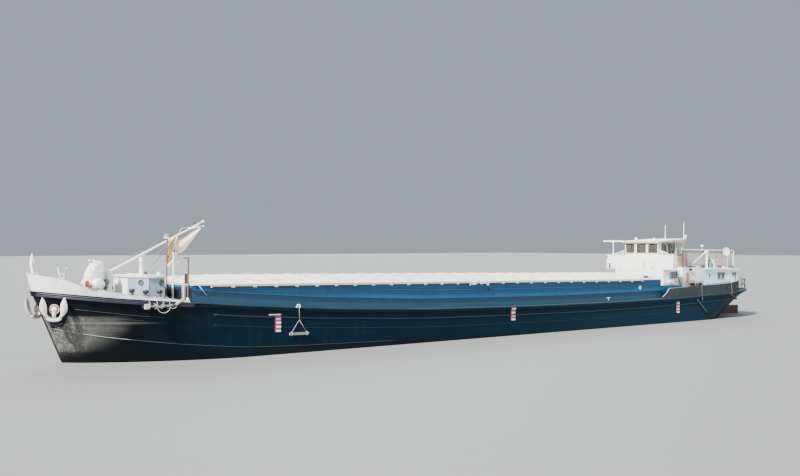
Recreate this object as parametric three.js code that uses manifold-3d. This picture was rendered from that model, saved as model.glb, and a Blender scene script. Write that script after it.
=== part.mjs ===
// Inland motor cargo vessel of 55 m, as a scale model at 1:2.
// Every size below is in metres of the real ship, and place() turns it into
// model millimetres. +X is the bow, +Y port, +Z up. The origin is amidships
// on the centre line, on the flat bottom.
import * as THREE from 'three';
import { mergeVertices } from 'three/addons/utils/BufferGeometryUtils.js';
import Module from 'manifold-3d';

const wasm = await Module();
wasm.setup();

// Driving dimensions
const MODEL_MM = 500;            // model millimetres for one metre of the ship, 1:2
const GAP = 0.0006;              // 0.3 mm in the model between pieces that touch
const HALF_LENGTH = 27.5;
const HALF_BEAM = 3.3;
const GUNWALE = 2.42;            // side deck above the bottom, amidships
const WALL = 0.06;               // house walls and doors
const PLATE = 0.04;              // roofs and thin plates
const ABOVE_ALL = 9;             // higher than every piece, for cutting tools

// Hold, coaming and hatch covers
const HOLD = { aft: -14.3, fore: 20.0, half: 2.62, floor: 0.3 };
const COAMING = { top: 3.868, aft: -14.5, fore: 20.9, half: 2.76, thick: 0.1, ledge: 0.06, tail: -16.9, tailTop: 3.45 };
const COVER = { pitch: 1.2, fore: 19.96, half: 2.86, flat: 0.25, edge: 3.93, ridge: 4.3, thick: 0.07, lip: 0.16 };
const COVER_BOARDS = [4, 4, 4, 4, 4, 4, 3];

// Houses
const FORE_HOUSE = { aft: 21.67, corner: 22.52, fore: 23.15, half: 1.6, frontHalf: 0.78, floor: 2.9, top: 4.26 };
const FRONT = { fore: -15.66, aft: -16.1, half: 2.91, wing: 4.53, floor: 2.5, top: 5.52 };
const ENGINE_HOUSE = { aft: -17.6, fore: -16.12, half: 2.1, floor: 2.5, top: 4.52 };
const MID_HOUSE = { aft: -20.05, fore: -17.6, half: 2.3, floor: 2.5, top: 4.66 };
const WHEELHOUSE = { aft: -18.97, fore: -16.12, half: 1.45, sill: 5.6, frontTop: 6.49, slope: 0.07 };
const AFT_HOUSE = { aft: -24.6, fore: -20.07, half: 2.3, floor: 2.76, top: 4.54, roof: 4.6 };

// Propeller and rudder
const SHAFT_Z = 0.72;
const PROPELLER = { x: -24.75, radius: 0.54, hub: 0.13, length: 0.34, blades: 4 };
const RUDDER = { stock: -26.1, radius: 0.06, lead: 0.3, trail: 1.36, foot: 0.24, top: 1.74, turn: 22 };

// Colours and finishes
const paint = (color, roughness = 0.5, metalness = 0.1) =>
  new THREE.MeshStandardMaterial({ color, roughness, metalness });
const HULL_BLACK = paint(0x17242b, 0.45);
const COAMING_BLUE = paint(0x2f5f8c);
const COVER_CREAM = paint(0xdedbcf, 0.6);
const HOUSE_WHITE = paint(0xe8ebee);
const VARNISH = paint(0xb06a3c, 0.4, 0);
const RUDDER_RED = paint(0x8c1f2c);
const ANCHOR_WHITE = paint(0xe2ddd6);
const STEEL_GREY = paint(0x7b8085, 0.5, 0.6);
const BOARD_GREY = paint(0xb9b7ae, 0.8, 0);
const ROPE_TAN = paint(0xb8a888, 0.9, 0);
const BRONZE = paint(0x9a7a3c, 0.4, 0.8);

// Solids
function solidOf(geometry) {
  const bare = geometry.index ? geometry : geometry.clone();
  bare.deleteAttribute('normal');
  bare.deleteAttribute('uv');
  const merged = mergeVertices(bare, 1e-5);
  return new wasm.Manifold(new wasm.Mesh({
    numProp: 3,
    vertProperties: new Float32Array(merged.attributes.position.array),
    triVerts: new Uint32Array(merged.index.array),
  }));
}

function geometryOf(solid) {
  const mesh = solid.getMesh();
  const geometry = new THREE.BufferGeometry();
  geometry.setAttribute('position', new THREE.BufferAttribute(new Float32Array(mesh.vertProperties), 3));
  geometry.setIndex(new THREE.BufferAttribute(new Uint32Array(mesh.triVerts), 1));
  return geometry;
}

const join = (...solids) => solids.reduce((sum, next) => sum.add(next));
const cut = (body, ...tools) => tools.reduce((rest, tool) => rest.subtract(tool), body);

function box(x0, x1, y0, y1, z0, z1) {
  const geometry = new THREE.BoxGeometry(x1 - x0, y1 - y0, z1 - z0);
  geometry.translate((x0 + x1) / 2, (y0 + y1) / 2, (z0 + z1) / 2);
  return solidOf(geometry);
}

// A round bar between two points
function bar(from, to, radius, sides = 10, endRadius = radius) {
  const a = new THREE.Vector3(...from);
  const b = new THREE.Vector3(...to);
  const geometry = new THREE.CylinderGeometry(endRadius, radius, a.distanceTo(b), sides);
  const turn = new THREE.Quaternion().setFromUnitVectors(
    new THREE.Vector3(0, 1, 0), b.clone().sub(a).normalize());
  geometry.applyQuaternion(turn);
  geometry.translate((a.x + b.x) / 2, (a.y + b.y) / 2, (a.z + b.z) / 2);
  return solidOf(geometry);
}

// An outline in a plane, pushed along the third axis
function plateXZ(points, y0, y1) {
  const shape = new THREE.Shape(points.map(([x, z]) => new THREE.Vector2(x, z)));
  const geometry = new THREE.ExtrudeGeometry(shape, { depth: y1 - y0, bevelEnabled: false });
  geometry.rotateX(Math.PI / 2);
  geometry.translate(0, y1, 0);
  return solidOf(geometry);
}

function plateXY(points, z0, z1) {
  const shape = new THREE.Shape(points.map(([x, y]) => new THREE.Vector2(x, y)));
  const geometry = new THREE.ExtrudeGeometry(shape, { depth: z1 - z0, bevelEnabled: false });
  geometry.translate(0, 0, z0);
  return solidOf(geometry);
}

function plateYZ(points, x0, x1) {
  const shape = new THREE.Shape(points.map(([y, z]) => new THREE.Vector2(y, z)));
  const geometry = new THREE.ExtrudeGeometry(shape, { depth: x1 - x0, bevelEnabled: false });
  geometry.rotateX(Math.PI / 2);
  geometry.rotateZ(Math.PI / 2);
  geometry.translate(x0, 0, 0);
  return solidOf(geometry);
}

// Piecewise straight curve through a table of [x, value]
function along(table, x) {
  let i = 1;
  while (i < table.length - 1 && table[i][0] < x) i += 1;
  const [x0, v0] = table[i - 1];
  const [x1, v1] = table[i];
  return v0 + (v1 - v0) * THREE.MathUtils.clamp((x - x0) / (x1 - x0), 0, 1);
}

// Hull form
// Height of the side deck along the ship: [x, z]
const SHEER = [
  [-27.5, 3.12], [-24, 2.98], [-20, 2.8], [-16, 2.64], [-12, 2.53], [-6, 2.44],
  [0, GUNWALE], [7, 2.44], [13.8, 2.66], [18.1, 2.88], [21.2, 3.12], [24.3, 3.33], [27.3, 3.62],
];
const deckAt = (x) => along(SHEER, x);

// Height of the bottom along the ship: [x, z]
const KEEL_LINE = [
  [-27.5, 2.3], [-26.4, 1.86], [-25.6, 1.62], [-24.6, 1.4], [-23.4, 1.05], [-22.0, 0.5],
  [-21.0, 0.18], [-20.0, 0], [24.0, 0], [25.4, 0.02], [27.5, 0.1],
];
// Shape of each level of the hull, from the bottom up. share is its height between bottom and
// side deck, and half its half breadth amidships. bow and stern hold four values each: where the
// plan starts to narrow, where it ends, and two powers that make it fuller and blunter.
const LEVELS = [
  { share: 0, half: 2.95, bow: [17.5, 25.3, 1.5, 1.2], stern: [-16.5, -25.7, 1.5, 1.1] },
  { share: 0.035, half: 3.18, bow: [17.8, 25.7, 1.5, 1.25], stern: [-16.7, -25.85, 1.5, 1.1] },
  { share: 0.1, half: 3.3, bow: [18.2, 25.87, 1.5, 1.3], stern: [-17.0, -26.0, 1.5, 1.15] },
  { share: 0.35, half: 3.3, bow: [18.8, 26.25, 1.7, 1.4], stern: [-18.5, -26.3, 1.6, 1.25] },
  { share: 0.6, half: 3.3, bow: [19.4, 26.65, 1.9, 1.5], stern: [-19.5, -26.9, 1.8, 1.45] },
  { share: 0.8, half: 3.3, bow: [19.8, 26.98, 2.1, 1.6], stern: [-20.4, -27.25, 1.9, 1.65] },
  { share: 0.93, half: 3.3, bow: [20.0, 27.2, 2.2, 1.7], stern: [-21.5, -27.5, 2.0, 1.85] },
  { share: 0.935, half: 3.36, bow: [20.0, 27.26, 2.2, 1.7], stern: [-21.5, -27.5, 2.0, 1.85] },
  { share: 0.985, half: 3.36, bow: [20.0, 27.32, 2.2, 1.7], stern: [-21.5, -27.5, 2.0, 1.85] },
  { share: 1, half: 3.3, bow: [20.0, 27.28, 2.2, 1.7], stern: [-21.5, -27.5, 2.0, 1.85] },
];
const END_STEPS = 9;
const MID_X = [-16, -10, -4, 2, 8, 14];

// One end of a level's plan: points [x, y] from the parallel side to the centre line
function endCurve([start, end, full, blunt], half) {
  const points = [];
  for (let i = 0; i <= END_STEPS; i += 1) {
    const angle = (i / END_STEPS) * Math.PI / 2;
    const reach = Math.sin(angle) ** (2 / full);
    const breadth = i === END_STEPS ? 0 : Math.cos(angle) ** (2 / blunt);
    points.push([start + (end - start) * reach, half * breadth]);
  }
  return points;
}

// Half outline of a level from the stern's centre line to the stem
function halfPlan({ half, bow, stern }) {
  return [
    ...endCurve(stern, half).reverse(),
    ...MID_X.map((x) => [x, half]),
    ...endCurve(bow, half),
  ];
}

const hullHalfBreadth = (level, x) => along(halfPlan(level), x);

// A closed skin through rows of points; each row is one half outline, mirrored
function loft(rows) {
  const positions = [];
  const index = [];
  const count = rows[0].length;
  const ring = 2 * count - 2;
  for (const row of rows) {
    for (let i = 0; i < count; i += 1) positions.push(row[i][0], row[i][1], row[i][2]);
    for (let i = count - 2; i > 0; i -= 1) positions.push(row[i][0], -row[i][1], row[i][2]);
  }
  const tri = (a, b, c) => index.push(a, b, c);
  for (let r = 0; r + 1 < rows.length; r += 1) {
    for (let i = 0; i < ring; i += 1) {
      const a = r * ring + i;
      const b = r * ring + ((i + 1) % ring);
      tri(a, a + ring, b);
      tri(b, a + ring, b + ring);
    }
  }
  const cap = (base, up) => {
    const mirror = (i) => base + ((ring - i) % ring);
    for (let i = 0; i + 1 < count; i += 1) {
      const quad = [base + i, base + i + 1, mirror(i + 1), mirror(i)];
      const corners = quad.filter((v, k) => quad.indexOf(v) === k);
      for (let k = 1; k + 1 < corners.length; k += 1) {
        if (up) tri(corners[0], corners[k + 1], corners[k]);
        else tri(corners[0], corners[k], corners[k + 1]);
      }
    }
  };
  cap(0, false);
  cap((rows.length - 1) * ring, true);
  const geometry = new THREE.BufferGeometry();
  geometry.setAttribute('position', new THREE.Float32BufferAttribute(positions, 3));
  geometry.setIndex(index);
  return solidOf(geometry);
}

function hullRow(level, lift = 0, grow = 0) {
  return halfPlan(level).map(([x, y]) => {
    const low = along(KEEL_LINE, x);
    const high = deckAt(x);
    const stretch = 1 + grow / HALF_BEAM;
    return [x * (1 + grow / HALF_LENGTH), y * stretch, low + (high - low) * level.share + lift];
  });
}

// Closed band: outer and inner faces of a bent wall
function bandSolid(points, lowAt, highAt, thick, leanAt = () => 0) {
  const positions = [];
  const index = [];
  const n = points.length;
  for (let i = 0; i < n; i += 1) {
    const [px, py] = points[Math.max(i - 1, 0)];
    const [qx, qy] = points[Math.min(i + 1, n - 1)];
    const length = Math.hypot(qx - px, qy - py) || 1;
    const nx = (qy - py) / length;
    const ny = -(qx - px) / length;
    const [x, y] = points[i];
    const low = lowAt(x);
    const high = highAt(x);
    const lean = leanAt(x);
    positions.push(x, y, low);
    positions.push(x - nx * lean, y - ny * lean, high);
    positions.push(x + nx * (thick - lean), y + ny * (thick - lean), high);
    positions.push(x + nx * thick, y + ny * thick, low);
  }
  for (let i = 0; i + 1 < n; i += 1) {
    for (let k = 0; k < 4; k += 1) {
      const a = i * 4 + k;
      const b = i * 4 + ((k + 1) % 4);
      index.push(a, b, a + 4, b, b + 4, a + 4);
    }
  }
  const last = (n - 1) * 4;
  index.push(0, 2, 1, 0, 3, 2, last, last + 1, last + 2, last, last + 2, last + 3);
  const geometry = new THREE.BufferGeometry();
  geometry.setAttribute('position', new THREE.Float32BufferAttribute(positions, 3));
  geometry.setIndex(index);
  let solid = solidOf(geometry);
  if (solid.volume() < 0) {
    geometry.setIndex(index.map((v, i) => (i % 3 === 1 ? index[i + 1] : i % 3 === 2 ? index[i - 1] : v)));
    solid = solidOf(geometry);
  }
  return solid;
}

// Parts
const vessel = new THREE.Group();
vessel.name = 'vessel';

function place(name, solid, material) {
  const geometry = geometryOf(solid);
  geometry.scale(MODEL_MM, MODEL_MM, MODEL_MM);
  const mesh = new THREE.Mesh(geometry, material);
  mesh.name = name;
  vessel.add(mesh);
}

// The whole decked form, and the same lifted by the gap: what stands on deck is cut by it
const shell = loft(LEVELS.map((level) => hullRow(level)));
const liftedShell = loft(LEVELS.map((level) => hullRow(level, GAP)));
const onDeck = (solid) => solid.subtract(liftedShell);

// The same form grown all round: what lies against the side is cut by it
const grownShell = join(...[-GAP, 0, GAP].map((lift) =>
  loft(LEVELS.map((level) => hullRow(level, lift, 3 * GAP)))));
const onSide = (solid) => solid.subtract(grownShell);

// What stands on the roofs of the mid house and the aft house is cut by them
const onRoof = (solid) => cut(solid,
  box(AFT_HOUSE.fore, MID_HOUSE.fore, -HALF_BEAM, HALF_BEAM, 0, MID_HOUSE.top + GAP),
  box(AFT_HOUSE.aft - 1, AFT_HOUSE.fore, -HALF_BEAM, HALF_BEAM, 0, AFT_HOUSE.roof + GAP));

// Hull with its open hold, engine well, skeg, sole bar, stern tube and rudder tube
const ENGINE_FLOOR = 0.35;
function makeHull() {
  const skeg = plateXZ([[-19.5, 0.05], [-24.3, 0.05], [-24.3, 0.5], [-24.45, 1.6], [-19.5, 1.0]], -0.09, 0.09);
  const sole = box(-26.4, -24.2, -0.09, 0.09, 0.03, 0.13);
  const tubeEnd = PROPELLER.x + PROPELLER.length / 2 + GAP;
  const tube = bar([-22.5, 0, SHAFT_Z], [tubeEnd, 0, SHAFT_Z], 0.15, 12);
  const hold = box(HOLD.aft, HOLD.fore, -HOLD.half, HOLD.half, HOLD.floor, ABOVE_ALL);
  const engineWell = box(-19.1, -16.4, -1.7, 1.7, ENGINE_FLOOR, ABOVE_ALL);
  const rudderTube = bar([RUDDER.stock, 0, 1.2], [RUDDER.stock, 0, 2.4], RUDDER.radius + 0.0025, 12);
  return cut(join(shell, skeg, sole, tube), hold, engineWell, rudderTube);
}
place('hull', makeHull(), HULL_BLACK);
place('engine', box(-18.9, -16.7, -0.5, 0.5, ENGINE_FLOOR + GAP, 1.75), STEEL_GREY);

// Rudder, turned a little to port as it lies
function makeRudder() {
  const { stock, radius, lead, trail, foot, top, turn } = RUDDER;
  const blade = plateXZ([
    [lead, foot], [lead, top - 0.14], [0.06, top - 0.04], [-0.1, top], [-trail, top],
    [-trail, foot + 0.1], [-trail + 0.1, foot],
  ], -0.045, 0.045);
  const shaft = bar([0, 0, 0.13 + GAP], [0, 0, 2.3], radius, 12);
  const geometry = geometryOf(join(blade, shaft));
  geometry.rotateZ(-THREE.MathUtils.degToRad(turn));
  geometry.translate(stock, 0, 0);
  return solidOf(geometry);
}
place('rudder', makeRudder(), RUDDER_RED);

function makePropeller() {
  const { x, radius, hub, length, blades } = PROPELLER;
  let wheel = bar([x - length / 2, 0, SHAFT_Z], [x + length / 2, 0, SHAFT_Z], hub, 16);
  for (let i = 0; i < blades; i += 1) {
    const outline = new THREE.Shape();
    outline.moveTo(-0.09, hub * 0.6);
    outline.quadraticCurveTo(-0.3, radius * 0.7, 0, radius);
    outline.quadraticCurveTo(0.3, radius * 0.7, 0.09, hub * 0.6);
    const blade = { depth: 0.035, bevelEnabled: false, curveSegments: 5 };
    const geometry = new THREE.ExtrudeGeometry(outline, blade);
    geometry.translate(0, 0, -blade.depth / 2);
    geometry.rotateY(THREE.MathUtils.degToRad(55));
    geometry.rotateX(Math.PI / 2 + (i / blades) * 2 * Math.PI);
    geometry.translate(x, 0, SHAFT_Z);
    wheel = wheel.add(solidOf(geometry));
  }
  return wheel;
}
place('propeller', makePropeller(), BRONZE);

// Coaming round the hold, with two stiffeners and a low tail aft of it on each side
const STIFFENERS = { rises: [0.54, 1.0], highest: 3.66, depth: 0.05 };
function makeCoaming() {
  const { aft, fore, top, half, thick, ledge, tail, tailTop } = COAMING;
  const bottom = 2.3;
  const pieces = [
    box(aft, aft + thick, -half, half, bottom, top),
    box(fore - thick, fore, -half, half, bottom, top),
  ];
  const mirrored = (x0, x1, y0, y1, z0, z1) => [box(x0, x1, y0, y1, z0, z1), box(x0, x1, -y1, -y0, z0, z1)];
  pieces.push(...mirrored(aft, fore, half - thick, half, bottom, top));
  pieces.push(...mirrored(tail, aft + thick, half - thick, half, bottom, tailTop));
  pieces.push(...mirrored(tail, aft + thick, ENGINE_HOUSE.half + 0.02, half, tailTop - PLATE, tailTop));
  const stations = [aft, -6, 0, 7, 13.8, fore];
  for (const rise of STIFFENERS.rises) {
    const lower = stations.map((x) => [x, Math.min(deckAt(x) + rise, STIFFENERS.highest)]);
    const upper = lower.map(([x, z]) => [x, z + STIFFENERS.depth]).reverse();
    const profile = [...lower, ...upper];
    pieces.push(plateXZ(profile, half - 0.01, half + ledge), plateXZ(profile, -half - ledge, -half + 0.01));
  }
  return onDeck(join(...pieces));
}
place('coaming', makeCoaming(), COAMING_BLUE);

// Hatch covers in groups of boards, each a shallow roof with a lip and a rib on every board
const roofLine = (half, edge, ridge) => [
  [-half, edge], [-COVER.flat, ridge], [COVER.flat, ridge], [half, edge],
];
function makeCover(foreX, boards) {
  const { pitch, half, edge, ridge, thick, lip } = COVER;
  const aftX = foreX - boards * pitch + 0.02;
  const inside = half - PLATE;
  const roof = plateYZ([
    [-half, edge - lip], ...roofLine(half, edge, ridge), [half, edge - lip],
    [inside, edge - lip], ...roofLine(inside, edge - thick, ridge - thick).reverse(), [-inside, edge - lip],
  ], aftX, foreX);
  let group = roof;
  for (let i = 0; i < boards; i += 1) {
    const x = foreX - i * pitch - 0.06;
    group = group.add(plateYZ([
      ...roofLine(half, edge + 0.025, ridge + 0.025), ...roofLine(half, edge - 0.02, ridge - 0.03).reverse(),
    ], x - 0.05, x));
  }
  return group;
}
let coverX = COVER.fore;
COVER_BOARDS.forEach((boards, i) => {
  place(`hatch_cover_${i + 1}`, makeCover(coverX, boards), COVER_CREAM);
  coverX -= boards * COVER.pitch;
});

// Fixed hip at the fore end of the hold and flat platform at its aft end
function makeForeHatch() {
  const { half, edge, ridge, fore } = COVER;
  const [aftX, foreX] = [fore + 0.02, COAMING.fore - 0.02];
  const low = COAMING.top + GAP;
  const block = plateYZ([[-half, low], ...roofLine(half, edge, ridge), [half, low]], aftX, foreX);
  return cut(block, plateXZ([[aftX, ridge], [foreX, edge], [foreX, ridge + 1], [aftX, ridge + 1]], -3, 3));
}
place('fore_hatch', makeForeHatch(), COVER_CREAM);
place('aft_hatch', box(COAMING.aft, coverX - 0.03, -COVER.half, COVER.half, COAMING.top + GAP, COVER.edge), COVER_CREAM);

// Height of the bow bulwark's top: [x, z]
const BOW_TOP = [
  [21.2, 3.16], [22.1, 3.28], [23.5, 3.4], [24.4, 3.6], [25.1, 3.69], [25.6, 3.8],
  [25.95, 3.97], [26.3, 4.15], [26.9, 4.27], [27.24, 4.36],
];
const DECK_LEVEL = LEVELS[LEVELS.length - 1];
const deckEdge = (fromX, toX) => halfPlan(DECK_LEVEL).filter(([x]) => x > fromX && x < toX);

// Bulwark round the bow, leaning outwards towards the stem
function makeBowBulwark() {
  const fromX = BOW_TOP[0][0];
  const port = [[fromX, hullHalfBreadth(DECK_LEVEL, fromX)], ...deckEdge(fromX, HALF_LENGTH)];
  const starboard = port.slice(0, -1).reverse().map(([x, y]) => [x, -y]);
  const loop = [...port, ...starboard].map(([x, y]) => [x - 0.03, y * 0.985]);
  const lean = (x) => 0.24 * THREE.MathUtils.smoothstep(x, 22.5, 27.3);
  return onDeck(bandSolid(loop, (x) => deckAt(x) - 0.05, (x) => along(BOW_TOP, x), 0.09, lean));
}
place('bow_bulwark', makeBowBulwark(), HOUSE_WHITE);

// Height of the top of the stern bulwark, and of the rail behind it: [x, z]
const STERN_TOP = [
  [-27.5, 3.84], [-24, 3.78], [-22.1, 3.58], [-18.4, 3.38], [-14.85, 3.27], [-14.45, 2.93], [-14.05, 2.68],
];
const RAIL_START = -23.5;
function makeSternBulwark(way) {
  const edge = [
    [RAIL_START, hullHalfBreadth(DECK_LEVEL, RAIL_START)], ...deckEdge(RAIL_START, -16.5),
    [-14.85, HALF_BEAM], [-14.45, HALF_BEAM], [-14.05, HALF_BEAM],
  ].map(([x, y]) => [x, way * y * 0.985]);
  if (way < 0) edge.reverse();
  return onDeck(bandSolid(edge, (x) => deckAt(x) - 0.05, (x) => along(STERN_TOP, x), 0.08));
}
place('stern_bulwark_port', makeSternBulwark(1), HULL_BLACK);
place('stern_bulwark_starboard', makeSternBulwark(-1), HULL_BLACK);

// A pipe through points, bent smoothly
function pipe(points, radius, sides = 8) {
  const path = new THREE.CatmullRomCurve3(points.map((point) => new THREE.Vector3(...point)));
  const shape = new THREE.Shape();
  for (let i = 0; i < sides; i += 1) {
    const angle = (i / sides) * 2 * Math.PI;
    shape[i ? 'lineTo' : 'moveTo'](radius * Math.cos(angle), radius * Math.sin(angle));
  }
  const steps = 2 * (points.length - 1);
  return solidOf(new THREE.ExtrudeGeometry(shape, { steps, extrudePath: path, bevelEnabled: false }));
}

// Open pipe rail round the stern, behind the bulwarks
const RAIL = { inset: 0.97, lowerDrop: 0.36, radius: 0.03, post: 0.024 };
function makeSternRail() {
  const start = RAIL_START - 0.13;
  const quarter = [[start, hullHalfBreadth(DECK_LEVEL, start)], ...deckEdge(-HALF_LENGTH - 1, start).reverse()];
  const port = quarter.map(([x, y]) => [x + 0.06, y * RAIL.inset]);
  const loop = [...port, ...port.slice(0, -1).reverse().map(([x, y]) => [x, -y])];
  const rails = [0, RAIL.lowerDrop].map((drop) =>
    pipe(loop.map(([x, y]) => [x, y, along(STERN_TOP, x) - drop]), RAIL.radius));
  const posts = loop.map(([x, y]) => bar([x, y, deckAt(x) - 0.05], [x, y, along(STERN_TOP, x)], RAIL.post, 6));
  return onDeck(join(...rails, ...posts));
}
place('stern_rail', makeSternRail(), STEEL_GREY);

// A house of four walls on the sheered deck, open above, with window and door holes
function houseWalls({ aft, fore, half, top, floor }, holes = []) {
  const body = box(aft, fore, -half, half, floor, top);
  const room = box(aft + WALL, fore - WALL, -half + WALL, half - WALL, floor - 1, top + 1);
  return cut(body, room, ...holes);
}

// Fore house with cut corners; inset is how far the outline lies inside the walls
function foreHousePlan(inset) {
  const { aft, corner, fore, half, frontHalf } = FORE_HOUSE;
  const port = [[fore - inset, frontHalf - inset / 3], [corner - inset / 3, half - inset], [aft + inset, half - inset]];
  return [...port.slice().reverse().map(([x, y]) => [x, -y]), ...port];
}
const FORE_DOOR = { starboard: -1.1, port: -0.4, low: 3.3, high: 4.14 };
function makeForeHouse() {
  const { aft, corner, fore, half, frontHalf, floor, top } = FORE_HOUSE;
  const door = box(aft - 0.5, aft + 0.5, FORE_DOOR.starboard, FORE_DOOR.port, FORE_DOOR.low, FORE_DOOR.high);
  const port = { z: 3.98, radius: 0.12, reach: 0.3 };
  const facet = new THREE.Vector2(half - frontHalf, fore - corner).normalize();
  const holes = [-1, 1].flatMap((way) => [
    bar([22.73 - facet.x * port.reach, way * (1.32 - facet.y * port.reach), port.z],
      [22.73 + facet.x * port.reach, way * (1.32 + facet.y * port.reach), port.z], port.radius, 12),
    bar([21.85, way * (half - port.reach), port.z], [21.85, way * (half + port.reach), port.z], port.radius, 12),
  ]);
  const outer = plateXY(foreHousePlan(0), floor, top);
  const inner = plateXY(foreHousePlan(WALL), floor - 1, top + 1);
  return onDeck(cut(outer, inner, door, ...holes));
}
place('fore_house_walls', makeForeHouse(), HOUSE_WHITE);

const STOVE = { x: 22.58, y: 1, top: 5.16, radius: 0.09 };
function makeForeRoof() {
  const roof = plateXY(foreHousePlan(-0.04), FORE_HOUSE.top + GAP, FORE_HOUSE.top + PLATE);
  return join(roof, bar([STOVE.x, STOVE.y, FORE_HOUSE.top + PLATE / 2], [STOVE.x, STOVE.y, STOVE.top], STOVE.radius, 12));
}
place('fore_house_roof', makeForeRoof(), HOUSE_WHITE);
place('fore_house_door', box(FORE_HOUSE.aft, FORE_HOUSE.aft + WALL, FORE_DOOR.starboard + GAP,
  FORE_DOOR.port - 0.01, FORE_DOOR.low + 0.01, FORE_DOOR.high - 0.01), HOUSE_WHITE);

// Sides of a pin, and the radius of the hole with as many sides that it turns in freely
const PIN_SIDES = 24;
const holeFor = (pin) => (pin + GAP) / Math.cos(Math.PI / PIN_SIDES);

// Lowering boom in its tabernacle in front of the fore house
const BOOM = { foot: [23.77, 0, 4.43], tip: [18.83, 0, 6.98], radius: 0.055, heel: 0.085, pin: 0.05, cheek: 0.13 };
function makeTabernacle() {
  const [x, , z] = BOOM.foot;
  const deck = deckAt(x);
  const base = box(x - 0.28, x + 0.28, -0.28, 0.28, deck - 0.2, deck + 0.04);
  const column = box(x - 0.06, x + 0.06, -BOOM.cheek - 0.03, BOOM.cheek + 0.03, deck, z - 0.16);
  const cheeks = [-1, 1].map((way) =>
    box(x - 0.1, x + 0.1, way * BOOM.cheek - 0.03, way * BOOM.cheek + 0.03, z - 0.3, z + 0.12));
  const holes = bar([x, -0.4, z], [x, 0.4, z], holeFor(BOOM.pin), PIN_SIDES);
  return onDeck(cut(join(base, column, ...cheeks), holes));
}
place('tabernacle', makeTabernacle(), STEEL_GREY);

function makeBoom() {
  const { foot, tip, radius, heel, pin, cheek } = BOOM;
  const spar = bar(foot, tip, radius, 12, radius * 0.7);
  const boss = bar([foot[0], -0.09, foot[2]], [foot[0], 0.09, foot[2]], heel, 12);
  const pivot = bar([foot[0], -cheek - 0.06, foot[2]], [foot[0], cheek + 0.06, foot[2]], pin, PIN_SIDES);
  return join(spar, boss, pivot);
}
place('boom', makeBoom(), HOUSE_WHITE);

// Posts on the deck between the fore house and the hold: name, y, top, radius
const POST_X = 20.98;
const POSTS = [
  ['lamp_pole', 0.35, 6.1, 0.035],
  ['signal_post', 1.05, 5.37, 0.04],
  ['corner_post', 2.58, 5.17, 0.04],
];
for (const [name, y, top, radius] of POSTS) {
  const deck = deckAt(POST_X);
  const pieces = [
    box(POST_X - 0.07, POST_X + 0.07, y - 0.1, y + 0.1, deck - 0.06, deck + 0.06),
    bar([POST_X, y, deck + 0.03], [POST_X, y, top], radius, 10),
  ];
  if (name === 'lamp_pole') pieces.push(bar([POST_X, y, top - 0.02], [POST_X, y, top + 0.2], 0.165, 14, 0.13));
  if (name === 'corner_post') pieces.push(box(POST_X - 0.03, POST_X + 0.25, y - 0.03, y + 0.03, top - 0.06, top));
  place(name, onDeck(join(...pieces)), HOUSE_WHITE);
}

// Windlass on the fore deck
const WINDLASS = { aft: 24.17, fore: 24.76, half: 0.45, shaftZ: 3.9 };
function makeWindlass() {
  const { aft, fore, half, shaftZ } = WINDLASS;
  const middle = (aft + fore) / 2;
  const deck = deckAt(middle);
  const housing = plateXZ([
    [fore, deck], [fore, 4.25], [fore - 0.1, 4.55], [fore - 0.3, 4.82], [aft + 0.1, 4.9], [aft, 4.86], [aft, deck],
  ], -half, half);
  const shaft = bar([middle, -2 * half, shaftZ], [middle, 2 * half, shaftZ], 0.09, 12);
  const drums = [-1, 1].map((way) => bar([middle, way * 0.62, shaftZ], [middle, way * 0.86, shaftZ], 0.2, 14));
  const bed = box(aft - 0.03, fore + 0.08, -half - 0.06, half + 0.06, deck - 0.1, deck + 0.08);
  return onDeck(join(housing, shaft, ...drums, bed));
}
place('windlass', makeWindlass(), HOUSE_WHITE);

// Double bollards and mushroom vents on the side decks: name, x, y
const BOLLARDS = [
  ['bollard_fore_port', 22.7, 2.5], ['bollard_fore_starboard', 22.7, -2.5],
  ['bollard_aft_port', -19.2, 2.78], ['bollard_aft_starboard', -19.2, -2.78],
];
const VENTS = [['vent_port', 23.65, 2.4], ['vent_starboard', 23.65, -2.4]];
const HEAD = { shaft: 0.1, cap: 0.13, height: 0.44, thick: 0.06, spread: 0.34 };
function makeHeads(x, y, offsets) {
  const deck = Math.max(deckAt(x - HEAD.spread), deckAt(x + HEAD.spread));
  const reach = Math.max(...offsets) + 0.15;
  const plate = box(x - reach, x + reach, y - 0.14, y + 0.14, deck - 0.15, deck + 0.04);
  const heads = offsets.map((dx) => join(
    bar([x + dx, y, deck], [x + dx, y, deck + HEAD.height], HEAD.shaft, 12),
    bar([x + dx, y, deck + HEAD.height - HEAD.thick], [x + dx, y, deck + HEAD.height], HEAD.cap, 12)));
  return onDeck(join(plate, ...heads));
}
for (const [name, x, y] of BOLLARDS) place(name, makeHeads(x, y, [-HEAD.spread, HEAD.spread]), STEEL_GREY);
for (const [name, x, y] of VENTS) place(name, makeHeads(x, y, [0]), STEEL_GREY);

// Broad white front, its wings wider than the house below
function makeFront() {
  const { fore, aft, half, wing, floor, top } = FRONT;
  const body = ENGINE_HOUSE.half;
  return onDeck(plateYZ([
    [-body, floor], [-body, wing], [-half, wing], [-half, top - 0.28], [-half + 0.3, top],
    [half, top], [half, wing], [body, wing], [body, floor],
  ], aft, fore));
}
place('bridge_front', makeFront(), HOUSE_WHITE);

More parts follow.
